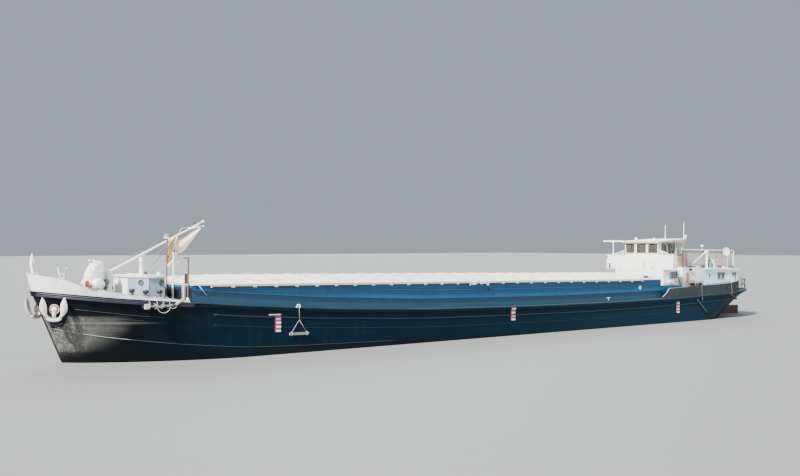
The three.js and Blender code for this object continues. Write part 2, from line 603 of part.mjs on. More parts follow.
// Engine house and the mid house behind it, one shell with a hatch up to the wheelhouse
function makeEngineHouse() {
  const shells = [{ ...ENGINE_HOUSE, aft: MID_HOUSE.fore - WALL - 0.02 }, MID_HOUSE];
  const bodies = shells.map(({ aft, fore, half, floor, top }) => box(aft, fore, -half, half, floor, top));
  const rooms = shells.map(({ aft, fore, half, floor, top }) =>
    box(aft + WALL, fore - WALL, -half + WALL, half - WALL, floor - 1, top - WALL));
  const passage = box(MID_HOUSE.fore - 0.3, MID_HOUSE.fore + 0.1, -0.5, 0.5, 0, ENGINE_HOUSE.top - WALL);
  const hatch = box(-18.7, -17.8, -0.7, 0.7, MID_HOUSE.top - 1, ABOVE_ALL);
  const windows = [-1, 1].map((way) => {
    const y = way * ENGINE_HOUSE.half;
    return box(-17.27, -16.4, y - 0.2, y + 0.2, 3.89, 4.4);
  });
  return onDeck(cut(join(...bodies), ...rooms, passage, hatch, ...windows));
}
place('engine_house', makeEngineHouse(), HOUSE_WHITE);

// Wheelhouse, whose roof rises towards the stern
const wallTop = (x) => WHEELHOUSE.frontTop + WHEELHOUSE.slope * (WHEELHOUSE.fore - x);
const WHEEL_DOOR = { aft: -18.7, fore: -18.04, low: MID_HOUSE.top + 0.06, drop: 0.15 };
const HEADER = 0.12;             // wall left above the windows
function makeWheelhouse() {
  const { aft, fore, half, sill } = WHEELHOUSE;
  const { aft: doorAft, fore: doorFore, low, drop } = WHEEL_DOOR;
  const holes = [];
  for (const y of [-0.95, 0, 0.95]) {
    holes.push(box(fore - 0.3, fore + 0.3, y - 0.4, y + 0.4, sill + 0.14, wallTop(fore) - HEADER));
  }
  for (const y of [-0.7, 0.7]) {
    holes.push(box(aft - 0.3, aft + 0.3, y - 0.5, y + 0.5, sill + 0.14, wallTop(aft) - HEADER));
  }
  for (const [x0, x1] of [[-16.98, -16.24], [-17.94, -17.06], [doorAft, doorFore]]) {
    const pane = [[x0, sill + 0.06], [x1, sill + 0.06], [x1, wallTop(x1) - HEADER], [x0, wallTop(x0) - HEADER]];
    holes.push(plateXZ(pane, -half - 0.2, -half + 0.2));
    if (x0 !== doorAft) holes.push(plateXZ(pane, half - 0.2, half + 0.2));
  }
  holes.push(box(doorAft, doorFore, half - 0.2, half + 0.2, low, wallTop(doorFore) - drop));
  holes.push(box(aft - 1, MID_HOUSE.fore + GAP, -half - 1, half + 1, 0, MID_HOUSE.top + GAP));
  const [front, back] = [fore + 1, aft - 1];
  holes.push(plateXZ([[front, wallTop(front)], [front, ABOVE_ALL], [back, ABOVE_ALL], [back, wallTop(back)]],
    -half - 1, half + 1));
  return houseWalls({ aft, fore, half, floor: ENGINE_HOUSE.top + GAP, top: 7 }, holes);
}
place('wheelhouse_walls', makeWheelhouse(), VARNISH);

// Whip aerials on the wheelhouse roof: x, y, top
const WHIPS = [[-16.95, 1.3, 7.7], [-19.0, 1.4, 8.0]];
function makeWheelhouseRoof() {
  const { aft, fore, half } = WHEELHOUSE;
  const [front, back] = [fore + 0.15, aft - 0.12];
  const roof = plateXZ([
    [front, wallTop(front) + GAP], [front, wallTop(front) + 0.08], [back, wallTop(back) + 0.08], [back, wallTop(back) + GAP],
  ], -half - 0.14, half + 0.14);
  return join(roof, ...WHIPS.map(([x, y, top]) => bar([x, y, wallTop(x) + 0.04], [x, y, top], 0.02, 8)));
}
place('wheelhouse_roof', makeWheelhouseRoof(), HOUSE_WHITE);

// Sliding door on the outside of the port wall
function makeWheelhouseDoor() {
  const { aft, fore, low, drop } = WHEEL_DOOR;
  const { half, sill } = WHEELHOUSE;
  const high = wallTop(fore) - drop + 0.03;
  const leaf = box(aft - 0.03, fore + 0.03, half + GAP, half + 0.045, low - 0.03, high);
  return cut(leaf, box(aft + 0.08, fore - 0.08, half - 0.3, half + 0.3, sill + 0.06, high - 0.12));
}
place('wheelhouse_door', makeWheelhouseDoor(), VARNISH);

// Helm console with the wheel on its aft face
const HELM = { x: -16.9, z: 5.3, radius: 0.36 };
function makeConsole() {
  const low = ENGINE_HOUSE.top + GAP;
  const desk = plateXZ([[-16.2, low], [-16.2, 5.6], [-16.5, 5.6], [-16.75, 5.4], [-16.75, low]], -0.8, 0.8);
  const rim = new THREE.TorusGeometry(HELM.radius, 0.025, 6, 20);
  rim.rotateY(Math.PI / 2);
  rim.translate(HELM.x, 0, HELM.z);
  const hub = bar([HELM.x - 0.02, 0, HELM.z], [HELM.x + 0.2, 0, HELM.z], 0.05, 8);
  const spokes = [0, 60, 120].map((angle) => {
    const a = THREE.MathUtils.degToRad(angle);
    const [dy, dz] = [HELM.radius * Math.cos(a), HELM.radius * Math.sin(a)];
    return bar([HELM.x, -dy, HELM.z - dz], [HELM.x, dy, HELM.z + dz], 0.015, 6);
  });
  return join(desk, hub, solidOf(rim), ...spokes);
}
place('helm_console', makeConsole(), VARNISH);

// Radar on its mast, on the starboard wing
const RADAR = { x: -15.9, y: -2.5, top: 6.5, half: 0.88 };
function makeRadarScanner() {
  const { x, y, top, half } = RADAR;
  return join(bar([x, y, top - 0.06 + GAP], [x, y, top + 0.02], 0.12, 14),
    box(x - 0.07, x + 0.07, y - half, y + half, top, top + 0.1));
}
place('radar_mast', bar([RADAR.x, RADAR.y, FRONT.top + GAP], [RADAR.x, RADAR.y, RADAR.top - 0.06], 0.04, 10), HOUSE_WHITE);
place('radar_scanner', makeRadarScanner(), HOUSE_WHITE);

// Aft house: windows on both sides as [from x, to x], and a door behind
const AFT_WINDOWS = [[-22.85, -21.85], [-24.34, -23.77]];
const AFT_DOOR = { half: 0.35, low: 3.1, high: 4.44 };
function makeAftHouse() {
  const { aft, half } = AFT_HOUSE;
  const holes = [-half, half].flatMap((y) =>
    AFT_WINDOWS.map(([x0, x1]) => box(x0, x1, y - 0.2, y + 0.2, 3.81, 4.36)));
  holes.push(box(aft - 0.3, aft + 0.3, -AFT_DOOR.half, AFT_DOOR.half, AFT_DOOR.low, AFT_DOOR.high));
  return onDeck(houseWalls(AFT_HOUSE, holes));
}
place('aft_house_walls', makeAftHouse(), HOUSE_WHITE);
place('aft_house_roof', box(AFT_HOUSE.aft - 0.1, AFT_HOUSE.fore, -AFT_HOUSE.half - 0.1, AFT_HOUSE.half + 0.1,
  AFT_HOUSE.top + GAP, AFT_HOUSE.roof), HOUSE_WHITE);
place('aft_house_door', box(AFT_HOUSE.aft, AFT_HOUSE.aft + WALL, -AFT_DOOR.half + GAP, AFT_DOOR.half - 0.01,
  AFT_DOOR.low + 0.01, AFT_DOOR.high - 0.01), VARNISH);

// Boarded screen on the roofs of the mid and aft houses
const SCREEN = { fore: -18.24, aft: -24.6, y: 1.85, top: 5.98, pitch: 0.4, board: 0.34, posts: 5 };
function makeScreen() {
  const { fore, aft, y, top, pitch, board, posts } = SCREEN;
  const pieces = [4.78, top - 0.07].map((z) => box(aft, fore, y - 0.04, y + 0.02, z, z + 0.07));
  for (let i = 0; i < posts; i += 1) {
    const x = fore - 0.04 - (i / (posts - 1)) * (fore - aft - 0.08);
    pieces.push(box(x - 0.04, x + 0.04, y - 0.05, y + 0.03, 4.3, top));
  }
  for (let x = fore - 0.06; x > aft + board; x -= pitch) {
    pieces.push(box(x - board, x, y - 0.02, y + 0.01, 4.72, top - 0.03));
  }
  return onRoof(join(...pieces));
}
place('roof_screen', makeScreen(), BOARD_GREY);

// Small crane on the roof: a turning post with an arm that luffs
const CRANE = { x: -20.8, y: 2.12, pivot: 5.9, reach: 1.93, droop: 28.4, pin: 0.03, ear: 0.08 };
function makeCranePost() {
  const { x, y, pivot, pin, ear } = CRANE;
  const z0 = AFT_HOUSE.roof + GAP;
  const post = bar([x, y, z0], [x, y, pivot - 0.18], 0.08, 12);
  const foot = bar([x, y, z0], [x, y, z0 + 0.05], 0.16, 12);
  const yoke = box(x - 0.06, x + 0.06, y - 0.1, y + 0.1, pivot - 0.22, pivot - 0.16);
  const ears = [y - ear, y + ear].map((at) =>
    box(x - 0.06, x + 0.06, at - 0.02, at + 0.02, pivot - 0.22, pivot + 0.08));
  const hole = bar([x, y - 0.3, pivot], [x, y + 0.3, pivot], holeFor(pin), PIN_SIDES);
  return cut(join(post, foot, yoke, ...ears), hole);
}
place('crane_post', makeCranePost(), HOUSE_WHITE);

function makeCraneArm() {
  const { x, y, pivot, reach, droop, pin } = CRANE;
  const a = THREE.MathUtils.degToRad(droop);
  const arm = bar([x, y, pivot], [x + reach * Math.cos(a), y, pivot - reach * Math.sin(a)], 0.05, 10, 0.04);
  return join(arm, bar([x, y - 0.11, pivot], [x, y + 0.11, pivot], pin, PIN_SIDES));
}
place('crane_arm', makeCraneArm(), HOUSE_WHITE);

const DISH = { x: -23.3, y: 2.17, z: 5.85, radius: 0.37 };
function makeDish() {
  const post = bar([DISH.x, DISH.y, AFT_HOUSE.roof + GAP], [DISH.x, DISH.y, DISH.z], 0.03, 8);
  const dome = new THREE.SphereGeometry(DISH.radius, 16, 8);
  dome.scale(1, 0.3, 1);
  dome.rotateZ(THREE.MathUtils.degToRad(-20));
  dome.translate(DISH.x, DISH.y, DISH.z);
  return join(post, solidOf(dome));
}
place('dish', makeDish(), HOUSE_WHITE);

// Anchors on the bows, crown down
const ANCHOR = { x: 26.49, y: 1.0, z: 2.42, size: 1.14, heading: 58 };
function makeAnchor(way) {
  const crown = bar([-0.36, 0.12, 0], [0.36, 0.12, 0], 0.1, 12);
  const shank = bar([0, 0.12, 0], [0, 0.1, 0.75], 0.07, 10);
  const flukes = [-1, 1].map((side) => plateXZ([
    [side * 0.3, -0.05], [side * 0.49, 0.1], [side * 0.56, 0.45], [side * 0.49, 0.85],
    [side * 0.37, 0.6], [side * 0.29, 0.2],
  ], 0.08, 0.2));
  const geometry = geometryOf(join(crown, shank, ...flukes));
  geometry.scale(ANCHOR.size, ANCHOR.size, ANCHOR.size);
  geometry.rotateX(-0.1);
  if (way < 0) geometry.rotateZ(Math.PI);
  geometry.rotateZ(-way * THREE.MathUtils.degToRad(ANCHOR.heading));
  geometry.translate(ANCHOR.x, way * ANCHOR.y, ANCHOR.z);
  return onSide(solidOf(geometry));
}
place('anchor_port', makeAnchor(1), ANCHOR_WHITE);
place('anchor_starboard', makeAnchor(-1), ANCHOR_WHITE);

// Jackstaff on the stem and the horned frame behind it
const STEM_TOP = BOW_TOP[BOW_TOP.length - 1][1];
place('jackstaff', join(
  bar([27.25, 0, STEM_TOP + 0.04], [27.3, 0, 5.3], 0.022, 8),
  box(27.05, HALF_LENGTH, -0.13, 0.13, STEM_TOP + GAP, STEM_TOP + 0.06)), HOUSE_WHITE);

const HORNS = { x: 25.93, half: 0.33, flare: 0.47, neck: 4.35, top: 4.64 };
function makeHornFrame() {
  const { x, half, flare, neck, top } = HORNS;
  const foot = box(x - 0.12, x + 0.12, -half - 0.1, half + 0.1, 3.3, deckAt(x) + 0.05);
  const posts = [-1, 1].flatMap((way) => [
    bar([x, way * half, 3.4], [x, way * half, neck], 0.03, 8),
    bar([x, way * half, neck - 0.02], [x, way * flare, top], 0.03, 8)]);
  const rails = [neck - 0.23, neck - 0.01].map((z) => bar([x, -half - 0.02, z], [x, half + 0.02, z], 0.025, 8));
  return onDeck(join(foot, ...posts, ...rails));
}
place('horn_frame', makeHornFrame(), HOUSE_WHITE);

// Fenders: short planks that hang on the port side: name, x, z, length, tilt, level of the hull behind
const FENDERS = [
  ['fender_mid', 15.32, 1.46, 1.1, 0, 5], ['fender_fore', 22.7, 2.97, 1.4, 0, 6],
  ['fender_aft', -18.4, 2.0, 1.33, 39, 5], ['fender_quarter', -22.4, 2.6, 1.07, 21, 6],
];
for (const [name, x, z, length, tilt, level] of FENDERS) {
  const geometry = geometryOf(box(-length / 2, length / 2, -0.16, 0.08, -0.06, 0.06));
  geometry.rotateY(THREE.MathUtils.degToRad(-tilt));
  const [before, after] = [x - 0.5, x + 0.5].map((at) => hullHalfBreadth(LEVELS[level], at));
  geometry.rotateZ(Math.atan2(after - before, 1));
  geometry.translate(x, (before + after) / 2 + 0.02, z);
  place(name, onSide(solidOf(geometry)), ROPE_TAN);
}

export default vessel;
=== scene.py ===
# Looks of an inland motor cargo vessel, a scale model at 1:2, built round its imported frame.
# The frame is in model metres. The helpers below take metres of the real ship, measured from
# amidships and up from the flat bottom, because every size of this ship was read in those.
import math
import random

import bmesh
import bpy
from mathutils import Matrix, Vector


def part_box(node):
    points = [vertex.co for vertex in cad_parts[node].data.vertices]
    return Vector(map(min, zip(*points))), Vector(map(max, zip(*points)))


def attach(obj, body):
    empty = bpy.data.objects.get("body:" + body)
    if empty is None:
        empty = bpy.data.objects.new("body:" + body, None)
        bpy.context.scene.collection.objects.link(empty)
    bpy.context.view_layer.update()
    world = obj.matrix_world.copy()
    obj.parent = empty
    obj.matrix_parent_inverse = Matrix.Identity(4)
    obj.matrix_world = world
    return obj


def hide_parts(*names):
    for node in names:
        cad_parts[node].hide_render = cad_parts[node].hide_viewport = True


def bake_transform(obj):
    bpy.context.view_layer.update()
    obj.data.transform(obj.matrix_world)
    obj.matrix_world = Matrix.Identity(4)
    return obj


bl_info = {
    "name": "Inland Cargo Vessel",
    "version": (1, 0, 0),
    "blender": (4, 5, 0),
    "location": "3D View > Sidebar > Vessel",
    "description": "Finishes, fittings, rigging and stage of an inland motor cargo vessel",
    "category": "Add Mesh",
}

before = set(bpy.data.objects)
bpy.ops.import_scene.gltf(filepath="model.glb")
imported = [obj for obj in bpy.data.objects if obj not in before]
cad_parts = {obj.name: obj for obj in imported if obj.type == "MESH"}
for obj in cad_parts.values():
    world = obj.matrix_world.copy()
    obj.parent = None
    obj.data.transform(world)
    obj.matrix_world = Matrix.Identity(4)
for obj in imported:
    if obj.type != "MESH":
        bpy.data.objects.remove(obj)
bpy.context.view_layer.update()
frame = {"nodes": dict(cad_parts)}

# Ship and model
MODEL = 0.5                      # model metres for one metre of the ship
HALF_BEAM = 3.3
DRAUGHT = 0.72                   # amidships
TRIM = math.radians(0.805)       # down by the stern, as the empty ship floats
HOUSE = 2.1                      # half width of the engine house
MID_HOUSE = 2.3                  # half width of the middle and aft houses
FRONT_X = -15.66                 # fore face of the broad white front
ROOF_Z = 4.66                    # roof of the middle house
AFT_ROOF_Z = 4.6
WHEEL_FORE = -16.12              # wheelhouse: fore wall, aft wall, half width
WHEEL_AFT = -18.97
WHEEL_HALF = 1.45
POSTS_X = 20.98                  # posts between the fore hatch and the fore house
FLOOR = 220.0                    # half width of the floor under the model
# Bollards and vents, which have shapes of their own here
HEADS = ("vent_port", "vent_starboard", "bollard_fore_port", "bollard_fore_starboard", "bollard_aft_port",
         "bollard_aft_starboard")

# Height of the side deck: (x, z)
SHEER = (
    (-27.5, 3.12), (-24, 2.98), (-20, 2.8), (-16, 2.64), (-12, 2.53), (-6, 2.44),
    (0, 2.42), (7, 2.44), (13.8, 2.66), (18.1, 2.88), (21.2, 3.12), (24.3, 3.33), (27.3, 3.62),
)
# Top of the bow bulwark and of the stern bulwark: (x, z)
BOW_TOP = (
    (21.2, 3.16), (22.1, 3.28), (23.5, 3.4), (24.4, 3.6), (25.1, 3.69), (25.6, 3.8),
    (25.95, 3.97), (26.3, 4.15), (26.9, 4.27), (27.24, 4.36),
)
STERN_TOP = (
    (-27.5, 3.84), (-24, 3.78), (-22.1, 3.58), (-18.4, 3.38), (-14.85, 3.27), (-14.45, 2.93),
    (-14.05, 2.68),
)


def along(table, x):
    """Value at x on the straight runs through a table of (x, value)."""
    for (x0, v0), (x1, v1) in zip(table, table[1:]):
        if x <= x1 or (x1, v1) == table[-1]:
            share = min(1.0, max(0.0, (x - x0) / (x1 - x0)))
            return v0 + (v1 - v0) * share
    return table[-1][1]


def deck_at(x):
    return along(SHEER, x)


def roof_below(x):
    """The roof of the middle or the aft house at x."""
    return ROOF_Z if x > -20.05 else AFT_ROOF_Z


def at(x, y, z):
    """A point of the ship as a point of the model."""
    return Vector((x, y, z)) * MODEL


def corners(node):
    """Lowest and highest corner of a CAD node, in ship metres."""
    return [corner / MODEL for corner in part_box(node)]


def meet(node, start, toward, out=0.0):
    """Where a ray from start meets a CAD node, moved out along its face; None if it misses."""
    hit, place, normal, _ = frame["nodes"][node].ray_cast(at(*start), Vector(toward))
    return place / MODEL + normal * out if hit else None


def side_point(x, z, out=0.0, node="hull", port=1):
    """The point of a side at x and z, moved out along its face and, from starboard, mirrored to port."""
    place = meet(node, (x, port * 2 * HALF_BEAM, z), (0, -port, 0), out)
    if place is None:
        raise RuntimeError(f"no side of {node} at x {x}, z {z}")
    place.y *= port
    return place


def stem_at(z):
    """How far forward the stem reaches at height z."""
    return meet("hull", (40, 0.004, z), (-1, 0, 0)).x


# Sizes and colours that a user would change
def colour(name, description, value):
    return bpy.props.FloatVectorProperty(
        name=name, description=description, default=value, subtype="COLOR", size=3, min=0.0, max=1.0)


def length(name, description, value):
    return bpy.props.FloatProperty(
        name=name, description=description, default=value, min=0.0001, subtype="DISTANCE", unit="LENGTH")


class VesselColours(bpy.types.PropertyGroup):
    """Paints and other finishes of the ship."""

    hull: colour("Hull", "Blue-black paint of the hull", (0.0003, 0.0085, 0.018))
    scuffed: colour("Scuffed hull", "Where fenders and quays have greyed the hull", (0.045, 0.05, 0.052))
    coaming: colour("Coaming", "Blue of the coaming, upper band", (0.010, 0.085, 0.185))
    # The lower band's greyer, darker blue is painted shade on the upright lower plate
    coaming_low_shade: colour("Coaming, lower", "Greyer blue of the coaming's lower band", (0.014, 0.062, 0.115))
    cover: colour("Covers", "Cream of the hatch covers", (0.74, 0.72, 0.66))
    white: colour("White", "White of the houses and fittings", (0.88, 0.89, 0.89))
    pale: colour("Pale house", "Pale blue-grey of the aft house", (0.84, 0.92, 0.97))
    cream: colour("Frames", "Off-white of the wheelhouse frames", (0.76, 0.72, 0.66))
    varnish: colour("Varnish", "Varnished wood of the wheelhouse", (0.42, 0.17, 0.06))
    deck: colour("Deck", "Dark grey-green paint of the decks", (0.035, 0.048, 0.05))
    rudder: colour("Rudder", "Maroon red of the rudder", (0.05, 0.002, 0.012))
    steel: colour("Steel", "Dark grey of bollards and rails", (0.10, 0.11, 0.115))
    rust: colour("Rust", "Rust and its streaks", (0.23, 0.085, 0.035))
    glass: colour("Glass", "Window glass", (0.05, 0.07, 0.07))
    rope: colour("Rope", "Old white rope", (0.50, 0.52, 0.5))
    floor: colour("Floor", "Pale floor at the waterline", (0.2, 0.205, 0.21))


class VesselSizes(bpy.types.PropertyGroup):
    """Sizes of the fittings, in metres of the real ship."""

    rub_rail: length("Rub rail", "Radius of the half-round rails on the hull", 0.04)
    stay: length("Stay", "Radius of the wire stays", 0.015)
    rope: length("Rope", "Radius of the fender ropes", 0.012)
    frame: length("Window frame", "Width of the window frames", 0.05)
    handrail: length("Handrail", "Radius of the handrails", 0.018)


class VesselStage(bpy.types.PropertyGroup):
    """Camera, floor and light."""

    lens: bpy.props.FloatProperty(
        name="Lens", description="Focal length on a 36 mm sensor", default=45.0, min=1.0,
        subtype="DISTANCE_CAMERA")
    eye: bpy.props.FloatVectorProperty(
        name="Eye", description="Camera in metres of the real ship, above the water amidships",
        default=(42.442, 44.815, 5.323), size=3, subtype="XYZ")
    yaw: bpy.props.FloatProperty(
        name="Yaw", description="Heading of the camera", default=math.radians(-128.95), subtype="ANGLE")
    pitch: bpy.props.FloatProperty(
        name="Pitch", description="Tilt of the camera above level", default=math.radians(0.397),
        subtype="ANGLE")
    sun: bpy.props.FloatProperty(name="Sun", description="Strength of the key light", default=15.0, min=0.0)
    sky: bpy.props.FloatProperty(name="Sky", description="Strength of the light all round", default=0.5,
                                 min=0.0)


def colours():
    return bpy.context.scene.vessel_colours


def sizes():
    return bpy.context.scene.vessel_sizes


# Shader building
class Shader:
    """Short words for placing and joining nodes in one tree."""

    def __init__(self, tree):
        self.tree = tree

    def add(self, kind, **settings):
        node = self.tree.nodes.new(kind)
        for key, value in settings.items():
            setattr(node, key, value)
        return node

    def feed(self, value, socket):
        if isinstance(value, bpy.types.NodeSocket):
            self.tree.links.new(value, socket)
        elif hasattr(socket.default_value, "__len__") and len(value) == 3 and len(socket.default_value) == 4:
            socket.default_value = (*value, 1.0)
        else:
            socket.default_value = value

    def math(self, operation, a, b=0.0, clamp=False):
        node = self.add("ShaderNodeMath", operation=operation, use_clamp=clamp)
        self.feed(a, node.inputs[0])
        self.feed(b, node.inputs[1])
        return node.outputs[0]

    def times(self, first, *others):
        """The product of any number of values."""
        for other in others:
            first = self.math("MULTIPLY", first, other)
        return first

    def mix(self, factor, a, b, blend="MIX"):
        node = self.add("ShaderNodeMix", data_type="RGBA", blend_type=blend)
        self.feed(factor, node.inputs["Factor"])
        self.feed(a, node.inputs[6])
        self.feed(b, node.inputs[7])
        return node.outputs[2]

    def scale_add(self, value, factor, offset):
        """value x factor + offset"""
        node = self.add("ShaderNodeMath", operation="MULTIPLY_ADD")
        for socket, number in zip(node.inputs, (value, factor, offset)):
            self.feed(number, socket)
        return node.outputs[0]

    def height_along(self, x, table):
        """Model height at model x, read from a table of (x, z) in ship metres."""
        first, last, top = table[0][0], table[-1][0], 5.0
        node = self.add("ShaderNodeFloatCurve")
        points = node.mapping.curves[0].points
        while len(points) < len(table):
            points.new(0.5, 0.5)
        for point, (station, z) in zip(points, table):
            point.location = ((station - first) / (last - first), z / top)
            point.handle_type = "VECTOR"
        node.mapping.update()
        span = (last - first) * MODEL
        self.feed(self.scale_add(x, 1 / span, -first * MODEL / span), node.inputs["Value"])
        return self.math("MULTIPLY", node.outputs["Value"], top * MODEL)

    def ramp(self, value, low, high, out_low=0.0, out_high=1.0):
        """A soft step from out_low to out_high while the value goes from low to high."""
        node = self.add("ShaderNodeMapRange", interpolation_type="SMOOTHSTEP")
        names = ("Value", "From Min", "From Max", "To Min", "To Max")
        for name, number in zip(names, (value, low, high, out_low, out_high)):
            self.feed(number, node.inputs[name])
        return node.outputs["Result"]

    def place(self, scale=(1.0, 1.0, 1.0)):
        """Object coordinates, stretched by scale."""
        mapping = self.add("ShaderNodeMapping")
        self.feed(self.add("ShaderNodeTexCoord").outputs["Object"], mapping.inputs["Vector"])
        self.feed(scale, mapping.inputs["Scale"])
        return mapping.outputs["Vector"]

    def axes(self, kind="ShaderNodeTexCoord", output="Object"):
        """x, y and z of the object, in model metres, or of another node's output."""
        split = self.add("ShaderNodeSeparateXYZ")
        self.feed(self.add(kind).outputs[output], split.inputs[0])
        return split.outputs

    def facing(self):
        """x, y and z of the face's normal."""
        return self.axes("ShaderNodeNewGeometry", "Normal")

    def noise(self, scale, detail=3.0, roughness=0.55, vector=None):
        node = self.add("ShaderNodeTexNoise")
        self.feed(self.place() if vector is None else vector, node.inputs["Vector"])
        for name, number in (("Scale", scale), ("Detail", detail), ("Roughness", roughness)):
            self.feed(number, node.inputs[name])
        return node.outputs["Fac"]

    def coat(self, shader, tone, old, bump):
        """Feeds the shader with a tone, and with the roughness and relief of old paint."""
        self.feed(tone, shader["Base Color"])
        self.feed(old["Roughness"], shader["Roughness"])
        self.feed(self.bump(old["Height"], bump), shader["Normal"])

    def bump(self, height, strength, distance=0.002):
        node = self.add("ShaderNodeBump")
        self.feed(height, node.inputs["Height"])
        node.inputs["Strength"].default_value = strength
        node.inputs["Distance"].default_value = distance
        return node.outputs["Normal"]


GROUPS = {}


def group(name, inputs, outputs):
    """Starts a node group; a start value of three numbers makes a colour socket, as does the name Color."""
    tree = bpy.data.node_groups.new(name, "ShaderNodeTree")
    for label, value in inputs:
        is_colour = isinstance(value, tuple)
        socket = tree.interface.new_socket(
            label, in_out="INPUT", socket_type="NodeSocketColor" if is_colour else "NodeSocketFloat")
        socket.default_value = (*value, 1.0) if is_colour else value
    for label in outputs:
        kind = "NodeSocketColor" if label == "Color" else "NodeSocketFloat"
        tree.interface.new_socket(label, in_out="OUTPUT", socket_type=kind)
    words = Shader(tree)
    start = words.add("NodeGroupInput")
    end = words.add("NodeGroupOutput")
    GROUPS[name] = tree
    return words, start.outputs, end.inputs


def build_weather_group():
    """Old paint: cloudy tone, dirt run down from above, and a matching roughness."""
    words, take, give = group("Weather", [
        ("Color", (0.8, 0.8, 0.8)), ("Dirt", (0.2, 0.16, 0.12)), ("Streaks", 0.3), ("Clouds", 0.12),
        ("Roughness", 0.5), ("Scale", 1.0)], ("Color", "Roughness", "Height"))
    clouds = words.noise(take["Scale"], 4.0, 0.6)
    speckle = words.noise(words.times(take["Scale"], 45.0), 2.0, 0.6)
    streaks = words.noise(words.times(take["Scale"], 1.7), 4.0, 0.62, words.place((7.0, 7.0, 0.55)))
    dark = words.times(words.ramp(streaks, 0.52, 0.74), take["Streaks"])
    uneven = words.math("SUBTRACT", clouds, 0.5)
    tone = words.scale_add(uneven, take["Clouds"], 1.0)
    tone = words.scale_add(words.math("SUBTRACT", speckle, 0.5), 0.05, tone)
    level = words.add("ShaderNodeCombineXYZ")
    for axis in range(3):
        words.feed(tone, level.inputs[axis])
    base = words.mix(1.0, take["Color"], level.outputs[0], "MULTIPLY")
    words.feed(words.mix(dark, base, take["Dirt"]), give["Color"])
    rough = words.scale_add(uneven, 0.3, take["Roughness"])
    words.feed(words.scale_add(dark, 0.3, rough), give["Roughness"])
    words.feed(words.scale_add(speckle, 0.3, clouds), give["Height"])


def build_wood_group():
    """Grain of boards that run along one axis."""
    words, take, give = group("Grain", [
        ("Color", (0.4, 0.2, 0.08)), ("Dark", (0.14, 0.06, 0.03)), ("Depth", 0.5)], ("Color", "Height"))
    wave = words.add("ShaderNodeTexWave", wave_type="BANDS", bands_direction="X")
    words.feed(words.place((9.0, 9.0, 1.1)), wave.inputs["Vector"])
    for name, number in (("Scale", 2.6), ("Distortion", 7.0), ("Detail", 3.0)):
        words.feed(number, wave.inputs[name])
    pores = words.noise(60.0, 3.0, 0.7, words.place((1.0, 1.0, 0.06)))
    grain = words.times(words.math("ADD", wave.outputs["Fac"], pores), 0.5)
    words.feed(words.mix(words.times(grain, take["Depth"]), take["Color"], take["Dark"]), give["Color"])
    words.feed(grain, give["Height"])


def build_rust_group():
    """Blooms of rust with a soft edge, more where the amount is higher."""
    words, take, give = group("Rust", [
        ("Color", (0.5, 0.5, 0.5)), ("Rust", (0.23, 0.085, 0.035)), ("Amount", 0.3), ("Scale", 4.0)],
        ("Color", "Mask"))
    blooms = words.noise(take["Scale"], 6.0, 0.72)
    edge = words.math("SUBTRACT", 0.78, words.times(take["Amount"], 0.45))
    mask = words.math("MULTIPLY", words.math("SUBTRACT", blooms, edge), 9.0, clamp=True)
    words.feed(words.mix(mask, take["Color"], take["Rust"]), give["Color"])
    words.feed(mask, give["Mask"])


def use(words, name, **values):
    """Places a node group in a material with its own values."""
    node = words.add("ShaderNodeGroup", node_tree=GROUPS[name])
    for key, value in values.items():
        words.feed(value, node.inputs[key.replace("_", " ")])
    return node.outputs


def surface(name, metallic=0.0, coat=0.0):
    """A new material with its Principled BSDF; returns the material, its words and the shader's sockets."""
    material = bpy.data.materials.new(name)
    material.use_nodes = True
    shader = next(node for node in material.node_tree.nodes if node.type == "BSDF_PRINCIPLED")
    shader.inputs["Metallic"].default_value = metallic
    shader.inputs["Coat Weight"].default_value = coat
    return material, Shader(material.node_tree), shader.inputs


def painted(name, tint, roughness=0.5, streaks=0.3, clouds=0.12, rust=0.0, scale=1.0, dirt=(0.24, 0.2, 0.16),
            metallic=0.0, coat=0.0, bump=0.15):
    """Paint with weather and, where asked, rust."""
    material, words, shader = surface(name, metallic, coat)
    old = use(words, "Weather", Color=tint, Dirt=dirt, Streaks=streaks, Clouds=clouds, Roughness=roughness,
              Scale=scale)
    tone = old["Color"]
    if rust:
        tone = use(words, "Rust", Color=tone, Rust=tuple(colours().rust), Amount=rust,
                   Scale=5.0 * scale)["Color"]
    words.coat(shader, tone, old, bump)
    return material


def wooden(name, tint, dark, roughness=0.4, coat=0.0, depth=0.6):
    """Boards with a grain."""
    material, words, shader = surface(name, 0.0, coat)
    grain = use(words, "Grain", Color=tint, Dark=dark, Depth=depth)
    words.feed(grain["Color"], shader["Base Color"])
    words.feed(words.ramp(grain["Height"], 0.0, 1.0, roughness - 0.06, roughness + 0.1), shader["Roughness"])
    words.feed(words.bump(grain["Height"], 0.25), shader["Normal"])
    return material


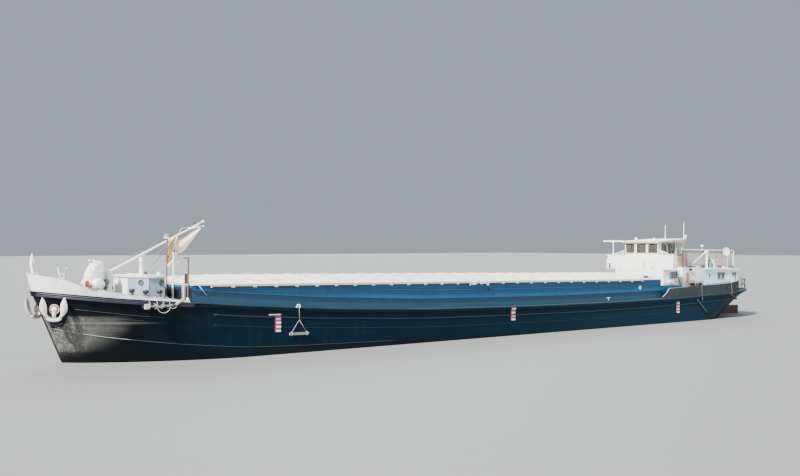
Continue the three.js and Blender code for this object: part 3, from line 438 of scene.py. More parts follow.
def hull_material():
    """Blue-black sides scuffed along the fender lines, grey-green deck, dark primer in the hold."""
    paint = colours()
    material, words, shader = surface("hull")
    shader["Specular IOR Level"].default_value = 0.08
    x, _, z = words.axes()[0:3]
    up = words.facing()["Z"]
    old = use(words, "Weather", Color=tuple(paint.hull), Dirt=tuple(paint.scuffed), Streaks=0.07, Clouds=0.7,
              Roughness=0.5, Scale=1.1)
    tone = words.mix(words.ramp(x, 4.0, -10.0), old["Color"], (0.003, 0.018, 0.032))
    tone = words.mix(words.ramp(x, 9.5, 12.0), tone, (0.003, 0.005, 0.008))
    # Long scratches at the height of quays
    scratches = words.noise(1.3, 5.0, 0.7, words.place((0.5, 0.5, 16.0)))
    level = words.times(words.ramp(z, 0.45, 0.62), words.ramp(z, 1.3, 1.1))
    scuffs = words.times(words.ramp(scratches, 0.6, 0.74), level)
    tone = words.mix(words.times(scuffs, 0.3), tone, tuple(paint.scuffed))
    # Grey-brown patch on the bow, partly real wear and partly painted sheen of the sun on the satin paint: a
    # band aft of the anchor and a lobe below it
    cloud = words.ramp(words.noise(1.4, 4.0, 0.65), 0.15, 0.5)
    band = words.times(words.ramp(x, 11.75, 12.35), words.ramp(z, 1.3, 1.18), words.ramp(z, 0.8, 0.95))
    lobe = words.times(words.ramp(x, 11.8, 12.6), words.ramp(z, 1.12, 0.98),
                       words.ramp(words.scale_add(x, 0.333, z), 4.5, 4.95))
    worn = words.times(words.math("MAXIMUM", band, lobe), cloud)
    # Painted shadow of the anchor: an upright oval aft of it where the grey-brown patch is left out
    beside = words.math("POWER", words.scale_add(x, 1 / 0.13, -13.17 / 0.13), 2.0)
    above = words.math("POWER", words.scale_add(z, 1 / 0.27, -1.19 / 0.27), 2.0)
    worn = words.times(worn, words.ramp(words.math("ADD", beside, above), 0.7, 1.3))
    tone = words.mix(words.times(worn, 0.85), tone, (0.105, 0.105, 0.1))
    streak = words.noise(1.0, 3.0, 0.6, words.place((0.35, 0.35, 30.0)))
    tone = words.mix(words.times(words.ramp(streak, 0.55, 0.66), band, 0.35), tone, (0.16, 0.15, 0.13))
    line = words.times(words.times(words.ramp(z, 1.07, 1.1), words.ramp(z, 1.145, 1.115)),
                       words.times(words.ramp(x, 11.0, 12.2), words.ramp(x, 13.0, 12.9)), 0.4)
    tone = words.mix(line, tone, (0.24, 0.22, 0.19))
    # Thin curved scratches where the noise crosses its middle value
    curls = words.noise(5.0, 4.0, 0.6, words.place((1.6, 1.6, 1.0)))
    curls = words.math("POWER", words.scale_add(curls, 1.0, -0.5), 2.0)
    curls = words.times(words.ramp(curls, 0.0004, 0.0001), words.ramp(x, 12.3, 12.9), worn, 0.45)
    tone = words.mix(curls, tone, (0.36, 0.36, 0.35))
    # Nicks low on the stem, and the wet line
    nicks = words.noise(9.0, 5.0, 0.75, words.place((1.0, 1.0, 3.5)))
    stem = words.times(words.ramp(x, 12.5, 13.0), words.ramp(z, 1.18, 1.05))
    nicked = words.times(words.ramp(nicks, 0.57, 0.63), words.times(stem, words.ramp(z, 0.42, 0.7)), 0.7)
    tone = words.mix(nicked, tone, (0.3, 0.3, 0.28))
    tone = words.mix(words.times(words.ramp(z, 0.47, 0.40), 0.6), tone, (0.004, 0.005, 0.005))
    flat = words.ramp(up, 0.75, 0.95)
    deck = use(words, "Weather", Color=tuple(paint.deck), Dirt=(0.09, 0.07, 0.05), Streaks=0.2, Clouds=0.5,
               Roughness=0.75, Scale=2.0)
    words.feed(words.mix(flat, tone, deck["Color"]), shader["Base Color"])
    rough = words.scale_add(words.math("MAXIMUM", scuffs, worn), 0.2, old["Roughness"])
    words.feed(words.scale_add(flat, 0.25, rough), shader["Roughness"])
    dents = words.noise(2.4, 2.0, 0.4)
    words.feed(words.bump(words.scale_add(dents, 5.0, old["Height"]), 0.35, 0.006), shader["Normal"])
    return material


def coaming_material():
    """Mid blue above the lower stiffener; a greyer, duller blue below it, painted shade on the upright lower
    plate; and a fore end painted dark, painted shade.
    """
    paint = colours()
    material, words, shader = surface("coaming")
    shader["Specular IOR Level"].default_value = 0.3
    x, _, z = words.axes()[0:3]
    rise = words.math("SUBTRACT", z, words.height_along(x, SHEER))
    # Lower band in a greyer, darker blue: painted shade
    tint = words.mix(words.ramp(rise, 0.285, 0.27), tuple(paint.coaming), tuple(paint.coaming_low_shade))
    old = use(words, "Weather", Color=tint, Dirt=(0.03, 0.05, 0.07), Streaks=0.45, Clouds=0.5,
              Roughness=0.45,
              Scale=1.3)
    tone = use(words, "Rust", Color=old["Color"], Rust=tuple(paint.rust), Amount=0.02, Scale=6.0)["Color"]
    # Fore end of the coaming painted near-black: painted shade, as it lies in the shade of the fore house
    end = words.times(words.ramp(x, 10.42, 10.445), words.ramp(z, 1.9, 1.86), 0.9)
    words.coat(shader, words.mix(end, tone, (0.006, 0.008, 0.014)), old, 0.2)
    return material


def fore_house_material():
    """White ahead, and a darker blue-grey on the slanted and long sides, set by the way they face: painted
    shade.
    """
    material, words, shader = surface("fore_house")
    across = words.facing()["Y"]
    turned = words.times(across, across)
    # Faces turned across the ship get a darker blue-grey: painted shade
    tint = words.mix(words.ramp(turned, 0.2, 0.34), tuple(colours().white), (0.29, 0.35, 0.42))
    tint = words.mix(words.ramp(turned, 0.6, 0.8), tint, (0.26, 0.35, 0.42))
    old = use(words, "Weather", Color=tint, Dirt=(0.24, 0.2, 0.16), Streaks=0.25, Clouds=0.12,
              Roughness=0.42,
              Scale=1.2)
    words.coat(shader, old["Color"], old, 0.15)
    return material


def glass_material():
    """Dark reflecting panes, a little uneven."""
    material, words, shader = surface("glass")
    words.feed(words.mix(words.noise(1.5), tuple(colours().glass), (0.13, 0.16, 0.155)),
               shader["Base Color"])
    words.feed(0.06, shader["Roughness"])
    words.feed(0.8, shader["Specular IOR Level"])
    words.feed(words.bump(words.noise(3.0), 0.04), shader["Normal"])
    return material


def clear_glass(name, tint, other):
    """Clear panes that show the inside."""
    material, words, shader = surface(name)
    words.feed(words.mix(words.ramp(words.noise(2.0), 0.35, 0.65), tint, other), shader["Base Color"])
    for setting, number in (("Roughness", 0.04), ("Transmission Weight", 0.9), ("IOR", 1.45)):
        words.feed(number, shader[setting])
    return material


def rope_material():
    """Laid rope: strands that wind round it."""
    material, words, shader = surface("rope")
    wave = words.add("ShaderNodeTexWave", wave_type="BANDS", bands_direction="DIAGONAL")
    words.feed(words.place(), wave.inputs["Vector"])
    words.feed(60.0, wave.inputs["Scale"])
    dirt = (0.2, 0.18, 0.15)
    old = use(words, "Weather", Color=tuple(colours().rope), Dirt=dirt, Streaks=0.3, Clouds=0.5,
              Roughness=0.85,
              Scale=8.0)
    words.feed(words.mix(words.times(wave.outputs["Fac"], 0.45), old["Color"], dirt), shader["Base Color"])
    words.feed(old["Roughness"], shader["Roughness"])
    words.feed(words.bump(wave.outputs["Fac"], 0.6), shader["Normal"])
    return material


def cloth(name, tint, other):
    """Thin bunting with a fine weave and faded folds."""
    material, words, shader = surface(name)
    weave = words.add("ShaderNodeTexChecker")
    words.feed(words.place(), weave.inputs["Vector"])
    words.feed(700.0, weave.inputs["Scale"])
    faded = words.mix(words.ramp(words.noise(7.0), 0.35, 0.65), tint, other)
    words.feed(words.mix(words.times(weave.outputs["Fac"], 0.08), faded, (0.2, 0.2, 0.2)),
               shader["Base Color"])
    words.feed(0.8, shader["Roughness"])
    words.feed(0.3, shader["Sheen Weight"])
    words.feed(words.bump(weave.outputs["Fac"], 0.2, 0.0005), shader["Normal"])
    return material


# Paints: colour or the name of a setting, roughness, streaks, clouds, rust, scale, and what else is unusual
PAINTS = {
    "cover": ("cover", 0.6, 0.35, 0.22, 0.08, 1.6),
    "white": ("white", 0.42, 0.22, 0.1, 0.06, 1.2),
    "pale": ("pale", 0.45, 0.25, 0.12, 0.05, 1.2),
    "cream": ("cream", 0.45, 0.15, 0.1, 0, 2),
    "bulwark": ("white", 0.45, 0.45, 0.14, 0.12, 1.5, {"dirt": (0.3, 0.22, 0.17)}),
    "anchor": ((0.74, 0.71, 0.68), 0.6, 0.5, 0.3, 0.5, 4, {"dirt": (0.45, 0.3, 0.27)}),
    "steel": ("steel", 0.5, 0.3, 0.3, 0.25, 3, {"metallic": 0.3}),
    "black": ((0.02, 0.022, 0.025), 0.5, 0.3, 0.3, 0.1, 3),
    "rudder": ("rudder", 0.6, 0.5, 0.4, 0.15, 2.5, {"dirt": (0.06, 0.03, 0.03)}),
    "bronze": ((0.45, 0.3, 0.11), 0.35, 0.4, 0.4, 0, 5, {"dirt": (0.1, 0.14, 0.1), "metallic": 0.9}),
    "louvre_red": ((0.4, 0.16, 0.15), 0.6, 0.3, 0.25, 0, 3),
    "louvre_white": ((0.62, 0.55, 0.54), 0.6, 0.3, 0.25, 0, 3),
    "red": ((0.42, 0.055, 0.045), 0.5, 0.3, 0.25, 0, 3),
    "hawse_pink": ((0.5, 0.3, 0.34), 0.7, 0.5, 0.5, 0.3, 6),
    "post_red": ((0.17, 0.07, 0.055), 0.6, 0.3, 0.3, 0.1, 6),
    # Near black: the stern fenders' own dark, and painted shade on the fore fender, which lies mostly in
    # shade
    "fender_dark_and_shade": ((0.03, 0.033, 0.036), 0.85, 0.3, 0.5, 0, 5),
    "stern_band": ((0.008, 0.016, 0.024), 0.6, 0.5, 0.9, 0.15, 2.6, {"dirt": (0.11, 0.12, 0.125)}),
    "hawse": ((0.2, 0.07, 0.045), 0.8, 0.5, 0.5, 0.6, 6),
    "mark_white": ((0.74, 0.74, 0.72), 0.6, 0.2, 0.2, 0.1, 5),
    "mark_red": ((0.3, 0.03, 0.07), 0.6, 0.2, 0.2, 0, 5),
    "worn": ((0.016, 0.024, 0.028), 0.6, 0.3, 0.5, 0, 3, {"dirt": (0.05, 0.055, 0.055)}),
    "worn_top": ((0.2, 0.21, 0.2), 0.7, 0.5, 0.6, 0.2, 3),
    "pale_edge": ((0.5, 0.5, 0.48), 0.6, 0.3, 0.3, 0.1, 3),
    "hull_trim": ((0.003, 0.010, 0.018), 0.6, 0.3, 0.4, 0, 3, {"dirt": (0.012, 0.018, 0.022)}),
    "lilac": ((0.05, 0.05, 0.08), 0.5, 0.2, 0.2, 0, 3),
    "navy": ((0.012, 0.013, 0.035), 0.5, 0.2, 0.2, 0, 3),
    "slate": ((0.075, 0.09, 0.105), 0.55, 0.3, 0.4, 0.15, 4),
    "grey": ((0.2, 0.21, 0.215), 0.5, 0.3, 0.3, 0.15, 3),
    "horn_pale": ((0.66, 0.66, 0.68), 0.5, 0.3, 0.3, 0.2, 4),
    "grey_white": ((0.5, 0.53, 0.55), 0.5, 0.3, 0.2, 0.05, 2),
    "window_grey": ((0.29, 0.28, 0.26), 0.45, 0.2, 0.2, 0, 2.5),
    "pale_blue_white": ((0.55, 0.66, 0.74), 0.45, 0.2, 0.2, 0, 2),
    "teal": ((0.03, 0.28, 0.3), 0.4, 0.15, 0.2, 0, 3),
    "yellow": ((0.55, 0.42, 0.08), 0.4, 0.15, 0.2, 0, 3),
    "pink": ((0.55, 0.1, 0.22), 0.4, 0.15, 0.2, 0, 3),
    "clay": ((0.3, 0.2, 0.13), 0.85, 0.3, 0.4, 0, 5),
    "leaf": ((0.06, 0.13, 0.035), 0.6, 0.2, 0.6, 0, 6),
    "mat": ((0.42, 0.36, 0.2), 0.9, 0.4, 0.5, 0, 9, {"dirt": (0.2, 0.16, 0.09), "bump": 0.6}),
    # Near black on the screen behind the boards: painted shade seen in the gaps between them
    "gaps": ((0.05, 0.05, 0.045), 0.8, 0.3, 0.3, 0, 3),
    "pale_blue": ((0.2, 0.42, 0.6), 0.45, 0.2, 0.15, 0, 2),
    # Opaque pale teal pane: the sky's reflection painted into its colour
    "sky_reflection_glass": ((0.3, 0.42, 0.42), 0.1, 0.1, 0.3, 0, 3, {"dirt": (0.2, 0.26, 0.24), "coat": 0.5}),
    "chain": ((0.16, 0.13, 0.12), 0.6, 0.3, 0.4, 0.5, 8, {"metallic": 0.5}),
    "wire": ((0.16, 0.165, 0.17), 0.45, 0.1, 0.2, 0, 6, {"metallic": 0.6}),
    # Near black: painted shade for the dark inside openings, and painted shadow under the cover lips
    "inside": ((0.03, 0.033, 0.035), 0.8, 0.2, 0.2, 0, 3),
    "lamp": ((0.7, 0.72, 0.7), 0.15, 0.1, 0.1, 0, 5, {"coat": 0.6}),
}
# Woods: colour, colour of the grain, roughness, coat, depth of the grain
WOODS = {
    "boards_pale": ((0.52, 0.51, 0.48), (0.26, 0.25, 0.24), 0.75),
    "boards": ((0.50, 0.49, 0.46), (0.23, 0.22, 0.21), 0.75, 0, 0.7),
    "varnish": ("varnish", (0.14, 0.045, 0.02), 0.28, 0.5),
    "tan": ((0.76, 0.6, 0.46), (0.56, 0.38, 0.26), 0.4, 0.3),
    "fender": ((0.24, 0.26, 0.24), (0.1, 0.1, 0.09), 0.85, 0, 0.8),
}
# Cloths and clear panes: two colours that run into each other
CLOTHS = {
    "red_cloth": ((0.15, 0.055, 0.06), (0.1, 0.04, 0.05)),
    "orange_flag": ((0.9, 0.5, 0.2), (0.88, 0.66, 0.4)),
    "white_flag": ((0.9, 0.84, 0.8), (0.88, 0.66, 0.58)),
    "tarpaulin": ((0.62, 0.68, 0.74), (0.5, 0.58, 0.68)),
    "curtain": ((0.72, 0.7, 0.66), (0.6, 0.58, 0.55)),
}
CLEAR = {
    "clear": ((0.6, 0.58, 0.52), (0.48, 0.47, 0.42)),
    "front_glass": ((0.46, 0.44, 0.42), (0.36, 0.35, 0.33)),
}
MATERIALS = {}


def make_materials():
    """Every finish of the ship, once."""
    for build in (build_weather_group, build_wood_group, build_rust_group):
        build()
    for make, table in ((painted, PAINTS), (wooden, WOODS), (cloth, CLOTHS), (clear_glass, CLEAR)):
        for name, (tint, *others) in table.items():
            options = others.pop() if isinstance(others[-1], dict) else {}
            if isinstance(tint, str):
                tint = tuple(getattr(colours(), tint))
            MATERIALS[name] = make(name, tint, *others, **options)
    MATERIALS.update(hull=hull_material(), coaming=coaming_material(), fore_house=fore_house_material(),
                     glass=glass_material(), rope=rope_material())


# Mesh building
UP = (0, 0, 1)
WHITE_SLOT = "white_paint"


def turn(count, closed=False):
    """Angles in equal steps round a circle, with the first one again at the end if closed."""
    return [2 * math.pi * k / count for k in range(count + closed)]


def circle(centre, guide, across, radius, count):
    """Points round a centre in the plane of guide and across."""
    return [centre + (guide * math.cos(a) + across * math.sin(a)) * radius for a in turn(count)]


def around(axis):
    """An axis of length one and two directions square to it."""
    heading = Vector(axis).normalized()
    guide = heading.orthogonal().normalized()
    return heading, guide, heading.cross(guide)


class Builder:
    """Collects plates, bars and turned forms in ship metres, and makes one object of them."""

    def __init__(self):
        self.mesh = bmesh.new()
        self.finishes = []
        self.port = 1

    def sides(self):
        """Yields 1 for port and -1 for starboard; what is added meanwhile lands on that side."""
        for self.port in (1, -1):
            yield self.port
        self.port = 1

    def _turned_over(self, point):
        x, y, z = point
        return Vector((x, y * self.port, z))

    def _vertex(self, point):
        return self.mesh.verts.new(self._turned_over(point) * MODEL)

    def _paint(self, faces, finish):
        if finish not in self.finishes:
            self.finishes.append(finish)
        for face in faces:
            face.material_index = self.finishes.index(finish)

    def _finish_solid(self, faces, finish, bevel):
        self._paint(faces, finish)
        if bevel:
            edges = list({edge for face in faces for edge in face.edges})
            made = bmesh.ops.bevel(
                self.mesh, geom=edges, offset=bevel * MODEL, segments=1, affect="EDGES", profile=0.5)
            faces = list({*(face for face in faces if face.is_valid), *made["faces"]})
        bmesh.ops.recalc_face_normals(self.mesh, faces=faces)
        self._paint(faces, finish)

    def _skin(self, rings, finish, closed=False, round_ends=True):
        """Joins rings of model points with faces, and closes both ends unless the rings run round."""
        rings = [[self.mesh.verts.new(point) for point in ring] for ring in rings]
        sides = len(rings[0])
        walls = []
        for near, far in zip(rings, rings[1:] + rings[:1] if closed else rings[1:]):
            for k in range(sides):
                j = (k + 1) % sides
                walls.append(self.mesh.faces.new((near[k], near[j], far[j], far[k])))
        ends = [] if closed else [self.mesh.faces.new(rings[0][::-1]), self.mesh.faces.new(rings[-1])]
        for face in walls + (ends if round_ends else []):
            face.smooth = True
        self._paint(walls + ends, finish)

    def _bar(self, path, radius, finish, sides, closed, taper=1.0):
        path = [Vector(point) * MODEL for point in path]
        count = len(path)
        rings = []
        guide = None
        for i, point in enumerate(path):
            before = path[(i - 1) % count] if closed or i else point
            after = path[(i + 1) % count] if closed or i + 1 < count else point
            heading = (after - before).normalized()
            if guide is None:
                guide = heading.orthogonal().normalized()
            guide = (guide - heading * guide.dot(heading)).normalized()
            size = radius * MODEL * (1 + (taper - 1) * (i / max(count - 1, 1)))
            rings.append(circle(point, guide, heading.cross(guide), size, sides))
        self._skin(rings, finish, closed)

    def box(self, x, y, z, finish="white", bevel=0.0):
        """A box from pairs of x, y and z, with its edges broken by bevel."""
        points = [self._vertex((a, b, c)) for a in x for b in y for c in z]
        sides = ((0, 1, 3, 2), (4, 6, 7, 5), (0, 4, 5, 1), (2, 3, 7, 6), (0, 2, 6, 4), (1, 5, 7, 3))
        faces = [self.mesh.faces.new([points[i] for i in side]) for side in sides]
        thinnest = min(abs(pair[1] - pair[0]) for pair in (x, y, z))
        self._finish_solid(faces, finish, min(bevel, thinnest * 0.35))

    def block(self, centre, half, z, finish="white", bevel=0.0):
        """A box round a point (x, y), with its half sizes, between two heights."""
        x, y = ((middle - reach, middle + reach) for middle, reach in zip(centre, half))
        self.box(x, y, z, finish, bevel)

    def prism(self, outline, direction, finish="white", bevel=0.0):
        """A flat outline of ship points, pushed along a direction."""
        push = self._turned_over(direction) * MODEL
        low = [self._vertex(point) for point in outline]
        high = [self.mesh.verts.new(vertex.co + push) for vertex in low]
        count = len(low)
        faces = [self.mesh.faces.new(low[::-1]), self.mesh.faces.new(high)]
        for i in range(count):
            j = (i + 1) % count
            faces.append(self.mesh.faces.new((low[i], low[j], high[j], high[i])))
        self._finish_solid(faces, finish, bevel)

    def tube(self, points, radius, finish="white", sides=8, closed=False, taper=1.0):
        """A round bar through points; the radius shrinks by taper to the far end."""
        self._bar([self._turned_over(point) for point in points], radius, finish, sides, closed, taper)

    def bend(self, points, steps, radius, finish="white", sides=8):
        """A round bar along a rounded line."""
        self.tube(smooth_line(points, steps), radius, finish, sides)

    def turned(self, profile, origin, finish="white", sides=20, axis=UP):
        """A form turned on an axis: profile is (radius, height) pairs from foot to head."""
        start = self._turned_over(origin) * MODEL
        heading, guide, across = around(self._turned_over(axis))
        self._skin([circle(start + heading * height * MODEL, guide, across, max(radius, 0.0005) * MODEL,
                           sides)
                    for radius, height in profile], finish, round_ends=False)

    def ring(self, centre, radius, wire, axis, finish="white", turns=24, sides=8):
        """A closed hoop of round bar."""
        _, guide, across = around(self._turned_over(axis))
        self._bar(circle(self._turned_over(centre), guide, across, radius, turns), wire, finish, sides, True)

    def grid(self, rows, finish):
        """A sheet through rows of ship points; returns its area in the model's square metres."""
        table = [[self._vertex(point) for point in row] for row in rows]
        faces = [self.mesh.faces.new((near[i], near[i + 1], far[i + 1], far[i]))
                 for near, far in zip(table, table[1:]) for i in range(len(near) - 1)]
        for face in faces:
            face.smooth = True
        self._paint(faces, finish)
        return sum(face.calc_area() for face in faces)

    def chain(self, points, link, wire, finish="chain"):
        """Links along a line, each turned a quarter against the last."""
        path = [self._turned_over(point) for point in points]
        for start, end in zip(path, path[1:]):
            run = end - start
            count = max(1, round(run.length / (link * 1.5)))
            heading, side, other = around(run)
            for i in range(count):
                centre = start + run * ((i + 0.5) / count)
                wide = side if i % 2 else other
                loop = [centre + heading * math.cos(a) * link + wide * math.sin(a) * link * 0.55
                        for a in turn(10)]
                self._bar(loop, wire, finish, 5, True)

    def make(self, name, body="root", slot=WHITE_SLOT, stands_for=None):
        """Ends the mesh, gives the object its finishes and its body, and returns it; slot is not used."""
        data = bpy.data.meshes.new(name)
        bmesh.ops.recalc_face_normals(self.mesh, faces=self.mesh.faces)
        self.mesh.to_mesh(data)
        self.mesh.free()
        for finish in self.finishes:
            data.materials.append(MATERIALS[finish])
        piece = bpy.data.objects.new(name, data)
        bpy.context.scene.collection.objects.link(piece)
        if stands_for:
            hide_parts(stands_for)
        if body:
            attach(piece, body)
        return piece


def smooth_line(points, steps=6):
    """A rounded line through ship points."""
    path = [Vector(point) for point in points]
    line = []
    for i in range(len(path) - 1):
        p0, p1, p2, p3 = path[max(i - 1, 0)], path[i], path[i + 1], path[min(i + 2, len(path) - 1)]
        for k in range(steps):
            t = k / steps
            line.append(0.5 * ((2 * p1) + (p2 - p0) * t + (2 * p0 - 5 * p1 + 4 * p2 - p3) * t * t
                               + (3 * p1 - p0 - 3 * p2 + p3) * t ** 3))
    line.append(path[-1])
    return line


def run_length(points):
    """Length of a line of ship points, in model metres."""
    return sum((b - a).length for a, b in zip(points, points[1:])) * MODEL


def flute(centre, size, ridges, depth, twist, z, count):
    """A level ring of points whose radius waves, for cloth gathered round a pole."""
    return [(centre[0] + math.cos(a) * size * (1 + depth * math.sin(ridges * a + twist)),
             centre[1] + math.sin(a) * size * (1 + depth * math.sin(ridges * a + twist)), z)
            for a in turn(count, closed=True)]


def dress(finishes):
    """Gives CAD nodes their materials: finish name to node names."""
    for finish, nodes in finishes.items():
        for node in nodes.split():
            data = frame["nodes"][node].data
            data.materials.clear()
            data.materials.append(MATERIALS[finish])


# Operators, one for each piece or group of like pieces
class VESSEL_OT_stage(bpy.types.Operator):
    """Camera at the photo's place, a pale floor at the waterline and soft light"""

    bl_idname = "vessel.stage"
    bl_label = "Stage"

    def execute(self, context):
        settings = context.scene.vessel_stage
        trim = Matrix.Rotation(TRIM, 3, "Y")         # from the level world to the trimmed ship
        lift = Vector((0, 0, DRAUGHT))
        self.camera(context, settings, trim, lift)
        self.floor(context, trim, lift)
        self.lights(context, settings)
        return {"FINISHED"}

    def toward(self, azimuth, height):
        return Vector((math.cos(azimuth) * math.cos(height), math.sin(azimuth) * math.cos(height),
                       math.sin(height)))

    def camera(self, context, settings, trim, lift):
        eye = (trim @ Vector(settings.eye) + lift) * MODEL
        heading = trim @ self.toward(settings.yaw, settings.pitch)
        right = heading.cross(trim @ Vector(UP)).normalized()
        up = right.cross(heading)
        camera = bpy.data.objects.new("camera", bpy.data.cameras.new("camera"))
        camera.data.lens = settings.lens
        camera.data.sensor_width = 36.0
        camera.data.sensor_fit = "HORIZONTAL"
        camera.data.clip_end = 500.0
        camera.matrix_world = Matrix.Translation(eye) @ Matrix((right, up, -heading)).transposed().to_4x4()
        context.scene.collection.objects.link(camera)
        context.scene.camera = camera

    def floor(self, context, trim, lift):
        mesh = bmesh.new()
        mesh.faces.new([mesh.verts.new(trim @ Vector((a * FLOOR, b * FLOOR, 0)) + lift * MODEL)
                        for a, b in ((-1, -1), (1, -1), (1, 1), (-1, 1))])
        data = bpy.data.meshes.new("floor")
        mesh.to_mesh(data)
        mesh.free()
        floor = bpy.data.objects.new("floor", data)
        material, words, shader = surface("floor")
        pale = tuple(colours().floor)
        words.feed(words.mix(words.noise(0.05), pale, tuple(c * 0.97 for c in pale)), shader["Base Color"])
        words.feed(0.6, shader["Roughness"])
        data.materials.append(material)
        context.scene.collection.objects.link(floor)

    def lights(self, context, settings):
        # Name, heading that the light comes from, height, strength, softness, colour
        for name, azimuth, height, share, softness, tint in (
                ("key", 12, 43, 1.0, 5, (1.0, 0.96, 0.9)), ("fill", 100, 20, 0.12, 60, (0.82, 0.92, 1.0)),
                ("back", 235, 30, 0.07, 40, (0.82, 0.92, 1.0))):
            light = bpy.data.lights.new(name, "SUN")
            light.energy = settings.sun * share
            light.angle = math.radians(softness)
            light.color = tint
            lamp = bpy.data.objects.new(name, light)
            toward = self.toward(math.radians(azimuth), math.radians(height))
            lamp.rotation_euler = toward.to_track_quat("Z", "Y").to_euler()
            context.scene.collection.objects.link(lamp)
        world = bpy.data.worlds.new("studio")
        world.use_nodes = True
        background = world.node_tree.nodes["Background"]
        background.inputs["Color"].default_value = (0.78, 0.86, 0.95, 1.0)
        background.inputs["Strength"].default_value = settings.sky
        context.scene.world = world


class VESSEL_OT_finishes(bpy.types.Operator):
    """Materials of every part that keeps its own shape"""

    bl_idname = "vessel.finishes"
    bl_label = "Finishes"

    def execute(self, context):
        make_materials()
        dress({
            "hull": "hull", "coaming": "coaming", "bulwark": "bow_bulwark", "fore_house": "fore_house_walls",
            "cover": "fore_hatch aft_hatch " + " ".join(f"hatch_cover_{k + 1}" for k in range(7)),
            "white": "fore_house_roof fore_house_door boom signal_post windlass tabernacle bridge_front"
                     " engine_house wheelhouse_roof radar_mast radar_scanner aft_house_roof crane_post"
                     " crane_arm dish jackstaff",
            "pale": "aft_house_walls", "cream": "wheelhouse_walls", "tan": "wheelhouse_door helm_console",
            "varnish": "aft_house_door", "rudder": "rudder", "bronze": "propeller",
            # The roof screen behind the boards is painted near black: painted shade in the gaps
            "anchor": "anchor_port anchor_starboard", "gaps": "roof_screen", "grey": "horn_frame",
            "post_red": "lamp_pole corner_post", "black": "engine",
            "steel": "stern_rail " + " ".join(HEADS), "fender": "fender_mid",
            # The fore fender's near black is painted shade; the stern fenders are dark of their own
            "fender_dark_and_shade": "fender_fore fender_aft fender_quarter",
            "stern_band": "stern_bulwark_port stern_bulwark_starboard",
        })
        bare = [name for name, node in frame["nodes"].items() if len(node.data.materials) != 1]
        if bare:
            raise RuntimeError(f"parts without a finish: {bare}")
        return {"FINISHED"}


class VESSEL_OT_hull_trim(bpy.types.Operator):
    """Rub rails, seams, draught marks and hawse pipes on the hull"""

    bl_idname = "vessel.hull_trim"
    bl_label = "Hull trim"

    # Draught marks: from x, to x, lowest z, number of white and red pairs
    MARKS = ((16.36, 16.7, 1.59, 4), (0.18, 0.56, 1.62, 4), (-15.86, -15.5, 1.6, 4))
    PAIR = 0.2
    # Rails on the bow: points (x, z) from the stem aft, share of the radius, finish
    BOW_RAILS = (
        (((26.9, 2.08), (26.5, 1.95), (25.6, 1.75), (24.6, 1.58), (23.6, 1.45)), 0.42, "worn_top"),
        (((23.6, 1.45), (22.6, 1.33), (21.6, 1.22), (19.6, 1.04), (17.6, 0.92), (14.0, 0.86), (9.0, 0.84)),
         0.4, "worn"),
        (((25.9, 2.84), (24.6, 2.68), (23.5, 2.55), (22.3, 2.45)), 0.3, "worn"),
        (((24.4, 2.4), (23.8, 2.36), (23.2, 2.32)), 0.3, "worn"),
    )
    # Rails along the side: fore end, aft end, drop below the deck, share of the radius
    SIDE_RAILS = ((21, -22, 0.5, 0.75), (20, -20, 0.98, 0.25))

    def rail(self, trim, points, share, finish):
        line = smooth_line([(x, 0, z) for x, z in points], 5)
        places = [side_point(min(p.x, stem_at(p.z) - 0.05), p.z, port=trim.port) for p in line]
        trim.tube(places, sizes().rub_rail * share, finish)

    def patch(self, marks, x, low, high, finish, proud):
        """A painted block that follows the side between two x and two heights."""
        steps = max(1, round((high - low) / 0.05))
        heights = [low + (high - low) * k / steps for k in range(steps + 1)]
        marks.grid([[side_point(station, z, proud, port=marks.port) for station in x] for z in heights],
                   finish)

    def execute(self, context):
        trim = Builder()
        for _ in trim.sides():
            for points, share, finish in self.BOW_RAILS:
                self.rail(trim, points, share, finish)
            for fore, aft, drop, share in self.SIDE_RAILS:
                self.rail(trim, [(x, deck_at(x) - drop) for x in range(aft, fore + 1, 2)], share,
                          "hull_trim")
        stem = [(stem_at(z) + 0.012, 0, z) for z in (0.25, 0.6, 1.0, 1.4, 1.8, 2.2, 2.6, 2.95)]
        trim.tube(stem, 0.04, "black")
        trim.make("hull_rails", slot="hull_paint")

        marks = Builder()
        for aft, fore, low, pairs in self.MARKS:
            for _ in marks.sides():
                self.patch(marks, (aft, fore), low, low + pairs * self.PAIR, "mark_red", 0.006)
                for i in range(pairs):
                    foot = low + i * self.PAIR
                    self.patch(marks, (aft, fore - 0.07), foot, foot + self.PAIR / 2, "mark_white", 0.01)
                if aft > 10:
                    self.patch(marks, (aft, 17.05), 2.41, 2.46, "mark_white", 0.006)
        marks.make("draught_marks", slot="hull_paint")

        hawse = Builder()
        for _ in hawse.sides():
            hawse.turned([(0.1, -0.12), (0.17, -0.02), (0.2, 0.03), (0.19, 0.06), (0.13, 0.05),
                          (0.09, -0.04)],
                         side_point(26.55, 2.86, port=hawse.port), "hawse", 20, (0.5, 0.85, -0.1))
        hawse.make("hawse_pipes", slot="hull_paint")
        return {"FINISHED"}


class VESSEL_OT_bow_moulding(bpy.types.Operator):
    """Dark and pale lines under the white bulwark, and its capping"""

    bl_idname = "vessel.bow_moulding"
    bl_label = "Bow moulding"

    def execute(self, context):
        moulding = Builder()
        for port in moulding.sides():
            for drop, radius, finish in ((0.08, 0.03, "navy"), (0.145, 0.018, "lilac"),
                                         (0.2, 0.024, "hull_trim")):
                line = [side_point(x, deck_at(x) - drop, 0.012, port=port)
                        for x in (27.2, 27.0, 26.6, 26.2, 25.6, 25, 24, 23, 22, 21.4, 21.0)]
                moulding.bend(line, 3, radius, finish)
            cap = []
            for x in (27.2, 26.9, 26.6, 26.3, 26.1, 25.95, 25.6, 25.1, 24.4, 23.5, 22.6, 22.1, 21.6, 21.25):
                top = along(BOW_TOP, x)
                place = meet("bow_bulwark", (x, port * 5, top - 0.02), (0, -port, 0))
                if place:
                    cap.append((x, port * place.y - 0.035, top))
            moulding.bend(cap, 3, 0.032, "grey")
        moulding.make("bow_moulding")
        return {"FINISHED"}


